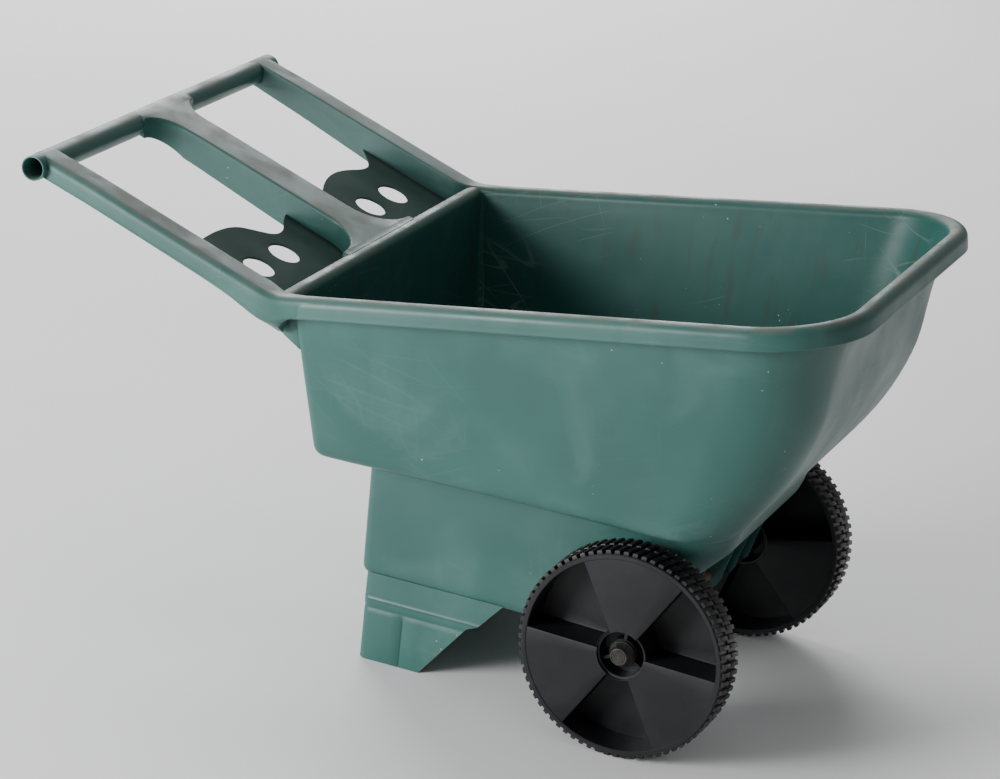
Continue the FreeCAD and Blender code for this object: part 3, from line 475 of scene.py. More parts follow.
def black_plastic():
    """Black moulded plastic, cleaner on the webs and dusty brown on the tread."""
    graph = Graph("black_plastic")
    black = (0.0040, 0.0042, 0.0058, 1)
    grey = (0.0085, 0.0089, 0.0118, 1)
    dust_colour = (0.085, 0.068, 0.054, 1)
    speck_colour = (0.16, 0.15, 0.14, 1)
    colour = graph.blend(graph.remap(graph.noise(7.0, 5.0), 0.35, 0.7), black, grey)
    parts = graph.split(graph.place)
    along = graph.math("SUBTRACT", parts["X"], SHIFT / 1000)
    height = graph.math("SUBTRACT", parts["Z"], AXLE_HEIGHT / 1000)
    reach = graph.math("SQRT", graph.math("ADD", graph.times(along, along),
                                          graph.times(height, height)))
    tread = graph.remap(reach, 0.1195, 0.1268)
    patch = graph.remap(graph.noise(38.0, 6.0), 0.36, 0.68)
    dust = graph.times(graph.times(tread, patch), 0.22)
    film = graph.times(graph.remap(graph.noise(60.0, 8.0), 0.52, 0.8), 0.05)
    colour = graph.blend(graph.math("MAXIMUM", dust, film), colour, dust_colour)
    specks = flecks(graph, 130.0, 0.10, 40.0, 0.60)
    colour = graph.blend(graph.times(specks, 0.5), colour, speck_colour)
    graph.surface("Base Color", colour)
    rough = graph.remap(graph.noise(15.0, 5.0), 0.3, 0.7, 0.34, 0.50)
    rough = graph.math("ADD", rough, graph.times(dust, 0.6), clamp=True)
    graph.surface("Roughness", rough)
    grain = graph.bump(graph.noise(900.0, 2.0), 0.16, 0.0003)
    graph.surface("Normal", graph.bump(graph.noise(30.0, 3.0), 0.15, 0.001, grain))
    graph.surface("Specular IOR Level", 0.38)
    return graph.material


def worn_steel(name, metal, rust, rust_from, roughness):
    """Dull plated or bare steel with rust that spreads in patches."""
    graph = Graph(name)
    tone = graph.remap(graph.noise(90.0, 5.0), 0.3, 0.7)
    darker = tuple(0.6 * part for part in metal[:3]) + (1,)
    colour = graph.blend(tone, darker, metal)
    rusty = graph.remap(graph.noise(120.0, 8.0, warp=0.4), rust_from, rust_from + 0.16)
    deep_rust = tuple(0.5 * part for part in rust[:3]) + (1,)
    tint = graph.blend(graph.noise(260.0, 4.0), rust, deep_rust)
    graph.surface("Base Color", graph.blend(rusty, colour, tint))
    graph.surface("Metallic", graph.remap(rusty, 0.0, 1.0, 1.0, 0.05))
    rough = graph.remap(graph.noise(300.0, 4.0), 0.3, 0.7, roughness, roughness + 0.16)
    rough = graph.math("ADD", rough, graph.times(rusty, 0.3), clamp=True)
    graph.surface("Roughness", rough)
    pits = graph.bump(graph.math("ADD", graph.noise(500.0, 5.0), rusty), 0.35, 0.0003)
    graph.surface("Normal", pits)
    return graph.material


def studio_floor():
    """Pale seamless paper."""
    graph = Graph("pale_paper")
    tone = graph.remap(graph.noise(1.5, 4.0), 0.3, 0.7)
    graph.surface("Base Color", graph.blend(tone, (0.90, 0.90, 0.90, 1), (0.93, 0.93, 0.93, 1)))
    graph.surface("Roughness", 0.85)
    graph.surface("Specular IOR Level", 0.15)
    return graph.material


MATERIALS = {
    "green_plastic": green_plastic("green_plastic", 0.62),
    "black_plastic": black_plastic(),
    "zinc_steel": worn_steel("zinc_steel", (0.085, 0.083, 0.080, 1), (0.055, 0.030, 0.017, 1),
                             0.50, 0.48),
    "bare_steel": worn_steel("bare_steel", (0.26, 0.22, 0.18, 1), (0.22, 0.105, 0.045, 1),
                             0.44, 0.5),
}

# A darker, duller copy of the green with painted shade, for the tool plates under the handle.
PAINTED_SHADE_GREEN = green_plastic("green_plastic_painted_shade", 0.10, 0.6)


# ------------ tub, rim and well
def rim_loop(out, up):
    """Loop of the rim's section point that is out from the crown's middle and up from its top."""
    rear_radius, front_radius = 16, 106
    slope_cos, slope_sin = math.cos(MOUTH_SLOPE), math.sin(MOUTH_SLOPE)
    rear = (RIM_HALF_WIDTH - out) * 1.05
    front = (RIM_HIGH.x - RIM_BACK - SKIRT * slope_sin) / slope_cos - RIM_HALF_WIDTH + out
    outline = plan(rear, front, CROWN_HALF + out, rear_radius + out, front_radius + out)
    along, across = outline[:, 0], outline[:, 1]
    rise = up + np.zeros(len(outline))
    return np.column_stack([
        RIM_BACK + along * slope_cos - rise * slope_sin, across,
        RIM_TOP_AT_BACK + along * slope_sin + rise * slope_cos])


def wall_top():
    """Loop where the tub's outer wall meets the underside of the rim."""
    loop = rim_loop(-7.5, -10.0)
    rear_share = ease(-loop[:, 0], -RIM_BACK - 60, -RIM_BACK - 20)
    loop[:, 0] += 0.8 * rear_share
    return loop


def tub_outside():
    """Loops of the outer surface from the well's floor up to the underside of the rim."""
    rear_radius, front_radius = 17, 66
    low = level(plan(LEDGE_REAR, LEDGE_FRONT, LEDGE_HALF, rear_radius, front_radius), LEDGE_HEIGHT)
    low[:, 2] -= LEDGE_SAG * (1 - ease(low[:, 0], LEDGE_REAR, LEDGE_REAR + 250))
    high = wall_top()
    front_share = np.clip(1 + (low[:, 0] - LEDGE_FRONT) / front_radius, 0, 1) ** 0.8

    def wall(share):
        """Loop part of the way up the wall, bowed out at the nose."""
        loop = low + (high - low) * share
        bow = NOSE_BOW * (4 * share * (1 - share) * (1 - 0.42 * ease(share, 0.5, 0.9))
                          + 0.10 * math.sin(2 * math.pi * share))
        loop[:, 0] += front_share * bow
        return loop

    def well(height, inset=0.0):
        """Loop round the well at one height: a raked front face below, a steep band above."""
        band = 83 + (height - band_foot) * 0.3
        rake = RAKE_FOOT + (height - WELL_LOW.z) / RAKE_SLOPE
        front = soft_low(band, rake, 3.0) - inset * 0.6
        half = 160 + 6 * (height - WELL_LOW.z) / (LEDGE_HEIGHT - WELL_LOW.z)
        corner = 45 + 12 * ease(height, WELL_LOW.z, band_foot)
        return level(plan(WELL_LOW.x + inset * 0.5, front, half - inset, 12, corner), height)

    band_foot, floor_round = 237, 15
    loops = [well(WELL_LOW.z + floor_round * (1 - math.cos(turn)),
                  floor_round * (1 - math.sin(turn)))
             for turn in np.linspace(0, math.pi / 2, 7)]
    brow = list(np.linspace(WELL_LOW.z + floor_round, 215, 8)[1:]) + [224, 231, 237, 243, 252, 262]
    loops += [well(height) for height in brow]
    top = well(LEDGE_HEIGHT)
    reach = np.linalg.norm(low - top, axis=1)[:, None]
    outward = (low - top) / np.maximum(reach, 1e-6)
    small = np.minimum(7.0, 0.42 * reach)
    loops += curve_through(well(LEDGE_HEIGHT - 7), top, top + outward * small, 5)
    large = np.minimum(13.0, 0.5 * reach)
    loops += [top + outward * (small + (reach - small - large) * share) for share in (0.33, 0.66)]
    loops += curve_through(low - outward * large, low, wall(0.07), 6)
    loops += [wall(share) for share in np.linspace(0.07, 0.96, 18)[1:]]
    return loops


def offset_inwards(loops, distance):
    """The loops moved in along their surface normals."""
    grid = np.array(loops)
    along = np.roll(grid, -1, axis=1) - np.roll(grid, 1, axis=1)
    upward = np.empty_like(grid)
    upward[1:-1] = grid[2:] - grid[:-2]
    upward[0] = grid[1] - grid[0]
    upward[-1] = grid[-1] - grid[-2]
    normal = np.cross(along, upward)
    normal /= np.maximum(np.linalg.norm(normal, axis=2), 1e-9)[:, :, None]
    return list(grid - normal * distance)


def rim_section():
    """Loops of the rolled rim, from its underside round the skirt and crown to the inner wall."""
    sample = rim_loop(0, 0)
    rear_share = ease(-sample[:, 0], -RIM_BACK - 30, -RIM_BACK - 8)
    skirt = SKIRT + (BAR_SKIRT - SKIRT) * rear_share
    loops = [rim_loop(out, up) for out, up in ((-6.9, -7.0), (-5.2, -5.4), (0, -5.0), (5.0, -5.4),
                                               (6.9, -7.0), (7.5, -10.0))]
    for out, above_lip in ((7.7, 5.0), (8.0, 1.2), (8.6, 0.3), (9.5, 0.0), (10.9, 0.0),
                           (11.8, 0.4), (12.15, 1.3), (12.0, 2.6), (12.0, 7.0)):
        loops.append(rim_loop(out, above_lip - skirt))
    roll = np.linspace(0, math.pi / 2, 8)
    edge = RIM_HALF_WIDTH - RIM_ROLL
    loops += [rim_loop(edge + RIM_ROLL * math.cos(turn), RIM_ROLL * (math.sin(turn) - 1))
              for turn in roll]
    loops += [rim_loop(-edge - RIM_ROLL * math.sin(turn), RIM_ROLL * (math.cos(turn) - 1))
              for turn in roll]
    return loops


def make_tub():
    """One continuous shell: well, ledge, walls and rolled rim, inside and out."""
    outside = tub_outside()
    inside = offset_inwards(outside, WALL)[::-1]
    builder = bmesh.new()
    rows = add_loops(builder, outside + rim_section() + inside)
    fill_across(builder, rows[0], 14)
    fill_across(builder, rows[-1], 14)
    piece = finish_mesh("tub_shell", builder, "green_plastic")
    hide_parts("tub_basin", "tub_rim", "rear_bar", "lower_well")


# ------------ handle frame
def handle_top(along):
    """Height of the handle's top face, which dips to meet the crossbar."""
    dip = BAR_DIP * (1 - ease(along, CROSSBAR_X + 5, CROSSBAR_X + 80))
    return HANDLE_TOP_AT_BACK - (along - RIM_BACK) * math.tan(HANDLE_SLOPE) - dip


def rim_top(along):
    """Height of the rim's crown."""
    return RIM_TOP_AT_BACK + (along - RIM_BACK) * math.tan(MOUTH_SLOPE)


def round_end(along, top, bottom):
    """Top and bottom heights where a member wraps round the crossbar."""
    ahead = along - CROSSBAR_X
    swell = math.sqrt(max(BAR_WRAP ** 2 - ahead ** 2, 0))
    if ahead < BAR_WRAP * math.sin(HANDLE_SLOPE):
        top = CROSSBAR_Z + swell
    if ahead < 0:
        bottom = max(bottom, CROSSBAR_Z - swell)
    return top, bottom


def section(along, corners, radii, steps=6):
    """Loop of a rounded four-sided section across the handle at one place along it."""
    spots = [np.array((along, across, height), float) for across, height in corners]
    loop = []
    for index, (spot, radius) in enumerate(zip(spots, radii)):
        before, after = spots[index - 1], spots[(index + 1) % 4]
        start = spot + (before - spot) * min(radius / np.linalg.norm(before - spot), 0.49)
        end = spot + (after - spot) * min(radius / np.linalg.norm(after - spot), 0.49)
        loop += curve_through(start, spot, end, steps)
        reach = min(radii[(index + 1) % 4] / np.linalg.norm(after - spot), 0.49)
        target = after + (spot - after) * reach
        loop += [end + (target - end) * share for share in (0.33, 0.66)]
    return loop


def end_stations():
    """Places along a member's half-round rear end, close together where it curves most."""
    turns = np.linspace(math.radians(4), math.pi / 2, 9)
    tail = np.array([0.3, 0.9]) * BAR_WRAP * math.sin(HANDLE_SLOPE) + CROSSBAR_X
    return [CROSSBAR_X - BAR_WRAP * math.cos(turn) for turn in turns] + list(tail)


def rail_loops(side):
    """Sections of a side rail, from the crossbar down to where it melts into the rim."""
    stations = end_stations() + list(np.linspace(CROSSBAR_X + 16, -482, 16)) \
        + list(np.linspace(-474, -330, 25))
    loops = []
    for along in stations:
        merged = ease(along, -468, -405)
        sunk = 1.6 * ease(along, -432, -335) + 0.4 * merged
        inner = RAIL_LOW.y + (CROWN_HALF - RIM_HALF_WIDTH - RAIL_LOW.y) * ease(along, -466, -434)
        outer = RAIL_HIGH.y + (RIM_HIGH.y - RAIL_HIGH.y) * merged
        inner, outer = inner + sunk, outer - sunk
        top = soft_high(handle_top(along), rim_top(along), 2.2) - sunk
        run = (along - CROSSBAR_X) / (RIM_BACK - CROSSBAR_X)
        # Both depths end a little short of the rim's skirt, so the rail melts into the rim.
        outer_depth = 24.5 + 2 * min(run, 1) + 8 * ease(run, 0.78, 1) + (SKIRT - 35.5) * merged
        inner_depth = 33 + 20 * min(run, 1) + (SKIRT - 57) * ease(along, -446, -430)
        top, outer_bottom = round_end(along, top, top - outer_depth)
        inner_bottom = round_end(along, top, top - inner_depth)[1]
        corners = [(side * inner, inner_bottom), (side * inner, top),
                   (side * outer, top), (side * outer, outer_bottom)]
        loops.append(section(along, corners, (4, 3 + 8 * merged, 10, 4)))
    return loops


def make_rail(name, side):
    """A side rail with a flat top, a rounded outer edge and a half-round rear end."""
    builder = bmesh.new()
    add_loops(builder, rail_loops(side), ends="filled")
    piece = finish_mesh(f"rail_shell_{name}", builder, "green_plastic")
    drill(piece, side * (RAIL_LOW.y + RAIL_HIGH.y) / 2)
    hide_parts(f"handle_rail_{name}")


def drill(piece, across):
    """Open a member where the hollow crossbar runs through it."""
    reach, bore = 80, CROSSBAR_RADIUS - 0.8
    builder = bmesh.new()
    bmesh.ops.create_cone(builder, cap_ends=True, segments=ROUND_STEPS, radius1=bore,
                          radius2=bore, depth=reach)
    turn = Matrix.Rotation(math.radians(90), 4, "X")
    builder.transform(Matrix.Translation((CROSSBAR_X, across, CROSSBAR_Z)) @ turn)
    cutter = finish_mesh("bore_cutter", builder, "green_plastic")
    cut = piece.modifiers.new("bore", "BOOLEAN")
    cut.operation = "DIFFERENCE"
    cut.object = cutter
    drilled = evaluated_mesh(piece)
    piece.modifiers.clear()
    solid, piece.data = piece.data, drilled
    bpy.data.meshes.remove(solid)
    bpy.data.meshes.remove(cutter.data)


def make_spar():
    """Centre spar, flaring into the crossbar and into the rear bar."""
    half, rear_flare, front_flare = 28.8, 36, 67
    rear_reach, front_reach = 38, 50
    front_end = RIM_BACK + 3
    blend_end = RIM_BACK + 11
    stations = end_stations()
    stations += [CROSSBAR_X + CROSSBAR_RADIUS + rear_reach * share ** 1.6
                 for share in np.linspace(0, 1, 12)]
    stations += list(np.linspace(CROSSBAR_X + 75, front_end - front_reach - 12, 12))
    stations += [front_end - front_reach * (1 - share) ** 1.6 for share in np.linspace(0, 1, 16)]
    stations += list(np.linspace(front_end, blend_end, 5)[1:])
    loops = []
    for along in stations:
        from_bar = min(max(along - CROSSBAR_X - CROSSBAR_RADIUS, 0) / rear_reach, 1)
        to_tub = min(max(front_end - along, 0) / front_reach, 1)
        width = half + rear_flare * (1 - math.sqrt(1 - (1 - from_bar) ** 2)) \
            + front_flare * (1 - math.sqrt(1 - (1 - to_tub) ** 2))
        run = (along - CROSSBAR_X) / (RIM_BACK - CROSSBAR_X)
        depth = 37 + 16 * run - 12 * (1 - from_bar)
        top = soft_high(handle_top(along), rim_top(along) - 0.4, 1.2)
        top, bottom = round_end(along, top, top - depth)
        corners = [(-width + 2, bottom), (-width, top), (width, top), (width - 2, bottom)]
        loops.append(section(along, corners, (3, 4.5, 4.5, 3)))
    builder = bmesh.new()
    add_loops(builder, loops, ends="filled")
    piece = finish_mesh("spar_shell", builder, "green_plastic")
    drill(piece, 0)
    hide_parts("handle_spar")


def make_crossbar():
    """Hollow round bar with softly rounded mouths and a faint mould seam."""
    builder = bmesh.new()
    half, bore, seam_rise = CROSSBAR_HIGH.y, BAR_WRAP - 2.4, 0.25
    profile = [(bore, half - 1.2), (bore + 0.5, half - 0.3), (bore + 1.0, half),
               (CROSSBAR_RADIUS - 1.0, half), (CROSSBAR_RADIUS - 0.3, half - 0.3),
               (CROSSBAR_RADIUS, half - 1.0)]
    stations = [(radius, -reach) for radius, reach in profile]
    stations += [(CROSSBAR_RADIUS, reach) for reach in np.linspace(-half + 20, half - 20, 12)]
    stations += profile[::-1]
    stations += [(bore, reach) for reach in np.linspace(half - 20, -half + 20, 12)]
    loops = []
    for radius, across in stations:
        loop = []
        for index in range(ROUND_STEPS):
            turn = 2 * math.pi * index / ROUND_STEPS
            on_seam = index in (0, ROUND_STEPS // 2) and radius == CROSSBAR_RADIUS
            reach = radius + (seam_rise if on_seam else 0)
            loop.append((CROSSBAR_X + reach * math.cos(turn), across,
                         CROSSBAR_Z + reach * math.sin(turn)))
        loops.append(loop)
    add_loops(builder, loops, ends="joined")
    piece = finish_mesh("crossbar_shell", builder, "green_plastic")
    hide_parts("handle_crossbar")


def smoothed(points, rounds=3):
    """An open outline with its corners cut again and again, its ends kept."""
    for _ in range(rounds):
        cut = [points[0]]
        for first, second in zip(points[:-1], points[1:]):
            cut += [first * 0.75 + second * 0.25, first * 0.25 + second * 0.75]
        points = cut + [points[-1]]
    return points


# Back edge of each tool plate from the rail to the spar: reach behind the holes, distance across.
PLATE_BACKS = {
    "right": ((60, 262), (66, 240), (69, 205), (70, 165), (64, 128), (44, 108), (28, 92),
              (27, 70), (40, 46), (46, 28)),
    "left": ((80, 262), (66, 246), (52, 226), (52, 205), (64, 175), (67.5, 148), (63.5, 118),
             (50.5, 83), (40, 55), (36, 28)),
}


def plate_outlines(name, depth):
    """The tool plate's edge and its two holes, seen from above."""
    hole_radius, holes_at, hole_middles = 19.8, -518.5, (121.8, 188.6)
    back = PLATE_BACKS[name]
    front = RIM_BACK + depth * math.tan(HANDLE_SLOPE) - 2
    edge = [np.array((front, back[end][1]), float) for end in (-1, 0)]
    edge += smoothed([np.array((holes_at - reach, across), float) for reach, across in back])
    holes = [[(holes_at + hole_radius * math.cos(HANDLE_SLOPE) * math.cos(turn),
               across + hole_radius * math.sin(turn))
              for turn in np.linspace(0, 2 * math.pi, ROUND_STEPS + 1)[:-1]]
             for across in hole_middles]
    return [edge] + holes


def make_tool_plate(name, side):
    """Thin plate with two holes, between the spar and a rail."""
    depth, thick, soft = 28.4, 2.5, 0.8
    curve = bpy.data.curves.new(f"plate_outline_{name}", "CURVE")
    curve.dimensions = "2D"
    curve.fill_mode = "BOTH"
    curve.extrude = thick / 2 - soft
    curve.bevel_depth = soft
    curve.bevel_resolution = 3
    curve.offset = -soft
    for points in plate_outlines(name, depth):
        spline = curve.splines.new("POLY")
        spline.points.add(len(points) - 1)
        for spot, point in zip(points, spline.points):
            point.co = (spot[0], side * spot[1], 0, 1)
        spline.use_cyclic_u = True
    holder = add_object(f"plate_holder_{name}", curve)
    mesh = evaluated_mesh(holder)
    builder = bmesh.new()
    builder.from_mesh(mesh)
    bpy.data.objects.remove(holder)
    bpy.data.curves.remove(curve)
    bpy.data.meshes.remove(mesh)
    drop = (depth + thick / 2) / math.cos(HANDLE_SLOPE)
    for vertex in builder.verts:
        vertex.co.z += handle_top(vertex.co.x) - drop
    piece = finish_mesh(f"plate_shell_{name}", builder, "green_plastic", sharp=30)
    # The tool plates take the copy of the green with painted shade.
    piece.data.materials[0] = PAINTED_SHADE_GREEN
    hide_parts(f"tool_plate_{name}")


def make_gusset(name, side):
    """Corner web under a rail, with soft edges."""
    low, high = node_box(f"rail_gusset_{name}")
    outline = [(low.x - 3, high.z - 3), (low.x + 8, high.z - 10), (low.x + 10, high.z - 14),
               (high.x + 5, low.z - 4), (high.x + 5, low.z + 1), (high.x + 3, high.z + 12),
               (low.x - 3, high.z + 14)]
    middle = side * (abs(low.y + high.y) / 2 - 5)
    builder = soft_slab(outline, middle, thick=9, edge=1.6, segments=3)
    piece = finish_mesh(f"gusset_shell_{name}", builder, "green_plastic")
    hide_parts(f"rail_gusset_{name}")


# ------------ stand foot and saddles
def make_foot():
    """U-shaped foot: a proud upper band, a shadow step and a plain lower panel with a groove."""
    bottom, top = FOOT_LOW.z, FOOT_HIGH.z + 6
    half, rear = 157.6, FOOT_LOW.x
    groove_at, groove_half, groove_depth, groove_top = -304.8, 1.6, 1.3, 66

    def front_edge(height):
        """Front edge of the side panels at one height: raked below, steeper above the step."""
        lower = -278 + 56 * height / 72
        upper = -208 + (height - 78) * 24 / 28
        return lower + (upper - lower) * ease(height, 72, 79)

    def loop(height, out):
        """C-shaped loop at one height: outer path there, inner path back."""
        front = front_edge(height)
        path = []
        for reach, radius in ((out, 11), (out - WALL, 7)):
            edge, back = half + reach, rear + out - reach
            half_path = [(front, edge)]
            columns = (front - 1.5, -285, groove_at + groove_half, groove_at,
                       groove_at - groove_half, -320)
            half_path += [(min(column, front - 1.5 - 0.3 * order), edge)
                          for order, column in enumerate(columns)]
            half_path += [(back + radius * (1 - math.sin(turn)),
                           edge - radius * (1 - math.cos(turn)))
                          for turn in np.linspace(0, math.pi / 2, 7)]
            full = half_path + [(back, edge * share) for share in (0.6, 0.3, 0.0, -0.3, -0.6)]
            full += [(x, -y) for x, y in reversed(half_path)]
            path.append(full)
        outer, inner = path
        groove = groove_depth if height < groove_top else 0.0
        for index in (4, len(outer) - 5):
            outer[index] = (outer[index][0], outer[index][1] * (1 - groove / half))
        return [(x, y, height) for x, y in outer + inner[::-1]]

    levels = [(bottom, -0.6), (bottom + 0.6, -0.1), (bottom + 2, 0.0), (30, 0.1), (60, 0.2),
              (64, 0.1), (66.5, -0.9), (68.5, -1.1), (70.5, 0.2), (73, 1.0), (76, 1.3),
              (79.4, 1.4), (79.9, 1.9), (80.4, 1.9), (80.9, 1.4), (84, 1.4), (96, 1.1),
              (104, 0.9), (top, 0.6)]
    builder = bmesh.new()
    add_loops(builder, [loop(height, out) for height, out in levels], ends="filled")
    piece = finish_mesh("foot_shell", builder, "green_plastic", sharp=50)
    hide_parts("stand_foot")


def rake_height(along):
    """Height of the well's raked front face."""
    return WELL_LOW.z + (along - RAKE_FOOT) * RAKE_SLOPE


def make_saddle(name, side):
    """Three ribs and a hooked cradle that carry the axle under the well."""
    first_rib, rib_step, bore = 57, 54, 6.6
    foot = AXLE_HEIGHT - 15
    builder = bmesh.new()

    def add_slab(outline, middle, thick, edge):
        """One more web of the saddle."""
        slab = soft_slab(outline, side * middle, thick, edge, segments=2)
        mesh = bpy.data.meshes.new("web")
        slab.to_mesh(mesh)
        slab.free()
        builder.from_mesh(mesh)
        bpy.data.meshes.remove(mesh)

    def under_well(along):
        """Point just inside the well's raked face."""
        return along, rake_height(along) + 3

    arch = [(bore * math.cos(turn), AXLE_HEIGHT + bore * math.sin(turn))
            for turn in np.linspace(math.radians(240), math.radians(-60), 22)]
    rib = [under_well(-24), (-13, foot + 2), (-10, foot), (-3.3, foot), *arch, (3.3, foot),
           (8, foot), (13, foot + 4), (16, foot + 10), under_well(36)]
    for index in range(3):
        add_slab(rib, first_rib + rib_step * index, 4.0, 0.5)
    cradle = [under_well(-19), (-17, foot + 4), (-13, foot + 0.5), (-8, foot - 0.5),
              (8, foot - 0.5), (11, foot + 2.5), (-7, foot + 2.5), (-12, foot + 6),
              under_well(-14)]
    add_slab(cradle, first_rib + rib_step, 2 * rib_step, 0.4)
    piece = finish_mesh(f"saddle_shell_{name}", builder, "green_plastic")
    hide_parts(f"axle_saddle_{name}")


# ------------ wheels and axle ends
WHEEL_WIDTH = 50.8
WHEEL_INSIDE = WHEEL_HIGH.y - WHEEL_WIDTH
DRUM_RADIUS, DRUM_INNER = 122.6, 116.5
HUB_OUTER, HUB_INNER, HUB_RECESS = 31.3, 27.0, 5.5
SLEEVE_RADIUS, BORE_RADIUS = 17.0, 6.45
SLEEVE_FROM = WHEEL_LOW.y - WHEEL_INSIDE
SLEEVE_TO = 227.7 - WHEEL_INSIDE
LUGS_ROUND = 72

# Degrees that each wheel's web is turned by.
WEB_TURN = {"left": 17, "right": 88}


def add_folded_web(builder, side, turn):
    """One sheet that runs by turns at the outer face and at the inner face."""
    top, sheet_soft, flat_from = WHEEL_WIDTH - 0.9, 1.2, 1.4
    radii = [HUB_INNER + 2, HUB_OUTER + 0.4, HUB_OUTER + 1.6] + list(np.linspace(38, 112, 11)) \
        + [DRUM_INNER - 1.4, DRUM_INNER - 0.3, DRUM_INNER + 2]

    def fold(radius, high, low, sign):
        """Angles and widths once round the sheet's front or back at one radius."""
        lean = sign * math.asin(WALL / 2 / radius)
        path = []
        for sector in range(3):
            middle = turn + math.radians(120 * sector)
            edge = math.radians(30) + lean
            gap = math.radians(120) - 2 * edge
            margin, bend, dip = flat_from / radius, 0.4 / radius, 0.35
            path += [(middle - edge, low + sheet_soft), (middle - edge, high - sheet_soft),
                     (middle - edge + bend, high - dip)]
            path += [(middle + angle, high) for angle in np.linspace(-edge + margin, edge - margin, 7)]
            path += [(middle + edge - bend, high - dip), (middle + edge, high - sheet_soft),
                     (middle + edge, low + sheet_soft), (middle + edge + bend, low + dip)]
            path += [(middle + edge + angle, low) for angle in np.linspace(margin, gap - margin, 7)]
            path += [(middle + edge + gap - bend, low + dip)]
        return path

    front = [(radius, fold(radius, top, WALL, 1)) for radius in radii]
    back = [(radius, fold(radius, top - WALL, 0.9, -1)) for radius in reversed(radii)]
    loops = [[on_wheel(angle, radius, width, side, WHEEL_INSIDE) for angle, width in path]
             for radius, path in front + back]
    add_loops(builder, loops, ends="joined")


def add_lug(builder, side, angle, width_from, width_to):
    """One tread lug: a slanted block with a rounded top."""
    base, tip, slant = DRUM_RADIUS - 0.6, WHEEL_HIGH.z - AXLE_HEIGHT, 5.0
    rings = []
    for radius, half, pull in ((base, 3.3, 0.0), (tip - 1.3, 2.9, 0.1), (tip - 0.35, 2.5, 0.5),
                               (tip, 1.7, 1.3)):
        low, high, sway = width_from + pull, width_to - pull, slant / 2
        rings.append([on_wheel(angle + across / DRUM_RADIUS, radius, width, side, WHEEL_INSIDE)
                      for across, width in ((half - sway, low), (-half - sway, low),
                                            (-half + sway, high), (half + sway, high))])
    add_loops(builder, rings, ends="filled")


def make_wheel(name, side):
    """Drum with two staggered rows of lugs, folded web, hub ring, ribs and sleeve."""
    builder = bmesh.new()
    width, middle = WHEEL_WIDTH, WHEEL_WIDTH / 2
    turn = math.radians(WEB_TURN[name])
    ring = ring_profile(DRUM_INNER, DRUM_RADIUS, 0, width, 0.9, 0.9)
    ridge = [(DRUM_RADIUS, middle - 1.2), (DRUM_RADIUS + 1.6, middle - 0.7),
             (DRUM_RADIUS + 1.6, middle + 0.7), (DRUM_RADIUS, middle + 1.2)]
    drum = ring[:4] + ridge + ring[4:] + [(DRUM_INNER, middle)]
    add_loops(builder, lathe(drum, side, WHEEL_INSIDE, 4 * LUGS_ROUND), ends="joined")
    add_folded_web(builder, side, turn)
    face = width - HUB_RECESS
    hub = [(HUB_INNER, 1.0), (HUB_INNER + 0.8, 0.2), (HUB_OUTER - 0.8, 0.2), (HUB_OUTER, 1.0),
           (HUB_OUTER, face + 2.8), (HUB_OUTER - 0.5, face + 3.4), (HUB_OUTER - 1.1, face + 2.9),
           (HUB_OUTER - 1.3, face + 0.4), (HUB_INNER + 0.6, face), (HUB_INNER, face - 0.6),
           (HUB_INNER, 26), (SLEEVE_RADIUS - 1, 25.3), (SLEEVE_RADIUS - 1, 18), (HUB_INNER, 18)]
    add_loops(builder, lathe(hub, side, WHEEL_INSIDE), ends="joined")
    sleeve = ring_profile(BORE_RADIUS, SLEEVE_RADIUS, SLEEVE_FROM, SLEEVE_TO, 0.5, 0.8)
    add_loops(builder, lathe(sleeve, side, WHEEL_INSIDE), ends="joined")
    for index in range(3):
        add_hub_rib(builder, side, turn + math.radians(120 * index))
    lug_length, rows_from, rows_apart = (width - 8) / 2, 2.2, 3.6
    for row in range(2):
        start = rows_from + row * (lug_length + rows_apart)
        for index in range(LUGS_ROUND):
            angle = 2 * math.pi * (index + row / 2) / LUGS_ROUND
            add_lug(builder, side, angle, start, start + lug_length)
    piece = finish_mesh(f"wheel_shell_{name}", builder, "black_plastic", f"{name}_wheel", 32)
    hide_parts(f"wheel_{name}")


def add_hub_rib(builder, side, angle):
    """One radial rib between the sleeve and the hub ring."""
    half, face = 2.2, SLEEVE_TO - 1
    rings = []
    for radius in (SLEEVE_RADIUS - 1.5, (SLEEVE_RADIUS + HUB_INNER) / 2, HUB_INNER + 1.5):
        rings.append([on_wheel(angle + across / radius, radius, width, side, WHEEL_INSIDE)
                      for across, width in ((-half, 10), (-half, face - 0.6), (-half + 0.6, face),
                                            (half - 0.6, face), (half, face - 0.6), (half, 10))])
    add_loops(builder, rings, ends="filled")


def make_axle():
    """Plain rod with chamfered ends."""
    low, high = node_box("axle_rod")
    radius = (high.z - low.z) / 2
    half = high.y
    profile = [(0.02, -half), (radius - 1, -half), (radius, -half + 1), (radius, 0),
               (radius, half - 1), (radius - 1, half), (0.02, half)]
    builder = bmesh.new()
    add_loops(builder, lathe(profile, 1, 0, 40), ends="joined")
    close_ends(builder)
    piece = finish_mesh("axle_bar", builder, "bare_steel")
    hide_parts("axle_rod")


def make_washer(name, side, place):
    """Flat washer with broken edges."""
    low, high = node_box(f"washer_{place}_{name}")
    inner_face = min(abs(low.y), abs(high.y))
    hole, soft = 6.7, 0.3
    profile = ring_profile(hole, (high.z - low.z) / 2, 0, high.y - low.y, soft, soft)
    builder = bmesh.new()
    add_loops(builder, lathe(profile, side, inner_face, 64), ends="joined")
    piece = finish_mesh(f"washer_disc_{place}_{name}", builder, "zinc_steel")
    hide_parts(f"washer_{place}_{name}")


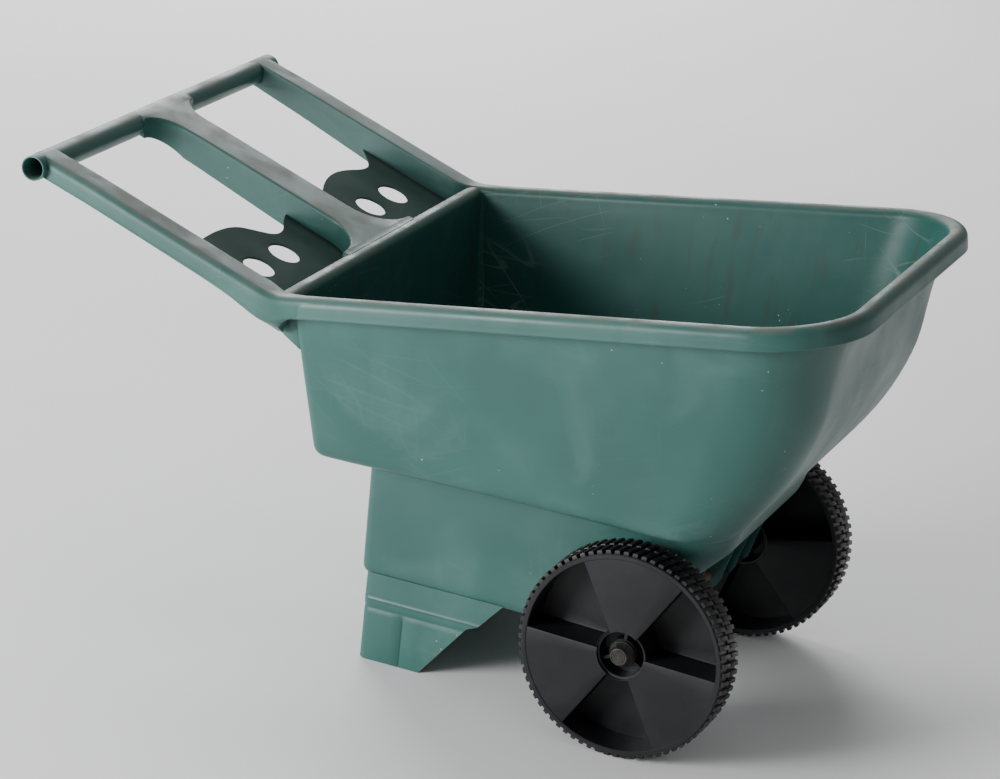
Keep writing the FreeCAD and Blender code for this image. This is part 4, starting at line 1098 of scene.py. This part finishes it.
def make_cap(name, side):
    """Push-on cap: flange, domed crown with pressed rings, hollow behind."""
    low, high = node_box(f"axle_cap_{name}")
    inner_face = min(abs(low.y), abs(high.y))
    height, flange, foot, crown = high.y - low.y, (high.z - low.z) / 2, 14.6, 10.0
    profile = [(6.36, 0.4), (6.8, 0.0), (flange - 0.4, 0.0), (flange, 0.4), (flange - 0.2, 1.2),
               (flange - 0.6, 1.5), (foot, 1.8), (crown + 0.9, height - 2.0),
               (crown + 0.5, height - 0.9), (crown + 0.1, height - 0.25), (crown - 0.5, height),
               (crown - 0.9, height)]
    for ring in (8.1, 6.2, 4.3, 2.4):
        profile += [(ring + 0.65, height - 0.1), (ring + 0.3, height - 0.7),
                    (ring - 0.3, height - 0.7), (ring - 0.65, height - 0.1)]
    profile += [(0.3, height - 0.1), (0.3, height - 1.4), (6.36, height - 1.5)]
    builder = bmesh.new()
    add_loops(builder, lathe(profile, side, inner_face, 64), ends="joined")
    close_ends(builder)
    piece = finish_mesh(f"cap_shell_{name}", builder, "zinc_steel")
    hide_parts(f"axle_cap_{name}")


# ------------ stage
def make_stage():
    """Pale floor that runs far past the view."""
    builder = bmesh.new()
    bmesh.ops.create_grid(builder, x_segments=8, y_segments=8, size=14)
    mesh = bpy.data.meshes.new("studio_floor")
    builder.to_mesh(mesh)
    builder.free()
    mesh.materials.append(studio_floor())
    add_object("studio_floor", mesh)


def add_light(name, place, target, size, power):
    """A square soft box aimed at a point."""
    data = bpy.data.lights.new(name, "AREA")
    data.shape = "SQUARE"
    data.size = size
    data.energy = power
    lamp = add_object(name, data)
    lamp.location = place
    lamp.rotation_euler = (Vector(target) - Vector(place)).to_track_quat("-Z", "Y").to_euler()


def make_lights():
    """Soft boxes to the right, above and far to the left, in a pale surround; metres and watts."""
    world = bpy.data.worlds.new("studio")
    world.use_nodes = True
    background = world.node_tree.nodes["Background"]
    background.inputs["Color"].default_value = (1, 1, 1, 1)
    background.inputs["Strength"].default_value = 0.32
    bpy.context.scene.world = world
    add_light("key", (-2.4, -3.4, 1.2), (-0.1, 0, 0.3), size=1.6, power=255)
    add_light("top", (-1.2, 0.8, 3.2), (0, 0, 0.3), size=1.2, power=30)
    add_light("back", (-2.5, 3.9, 2.5), (0, 0, 0.3), size=3.0, power=200)


def make_camera():
    """Long lens off the right of the nose, looking down, with a roll of about six degrees."""
    data = bpy.data.cameras.new("camera")
    data.sensor_fit = "HORIZONTAL"
    data.sensor_width = 36
    data.lens = 131.47
    data.shift_x = -0.0017
    data.shift_y = -0.022
    data.clip_end = 60
    camera = add_object("camera", data)
    right = Vector((0.91483, 0.39051, 0.10287))
    up = Vector((-0.21974, 0.26766, 0.93812))
    back = right.cross(up)
    turn = Matrix((right, up, back)).transposed().to_4x4()
    place = Vector((SHIFT + 1219.6, -3882.6, 1804.6)) / 1000
    camera.matrix_world = Matrix.Translation(place) @ turn
    bpy.context.scene.camera = camera


make_tub()
make_spar()
make_crossbar()
make_foot()
for name, side in (("left", 1), ("right", -1)):
    make_rail(name, side)
    make_tool_plate(name, side)
    make_gusset(name, side)
    make_saddle(name, side)
    make_wheel(name, side)
    make_washer(name, side, "inner")
    make_washer(name, side, "outer")
    make_cap(name, side)
make_axle()
make_stage()
make_lights()
make_camera()
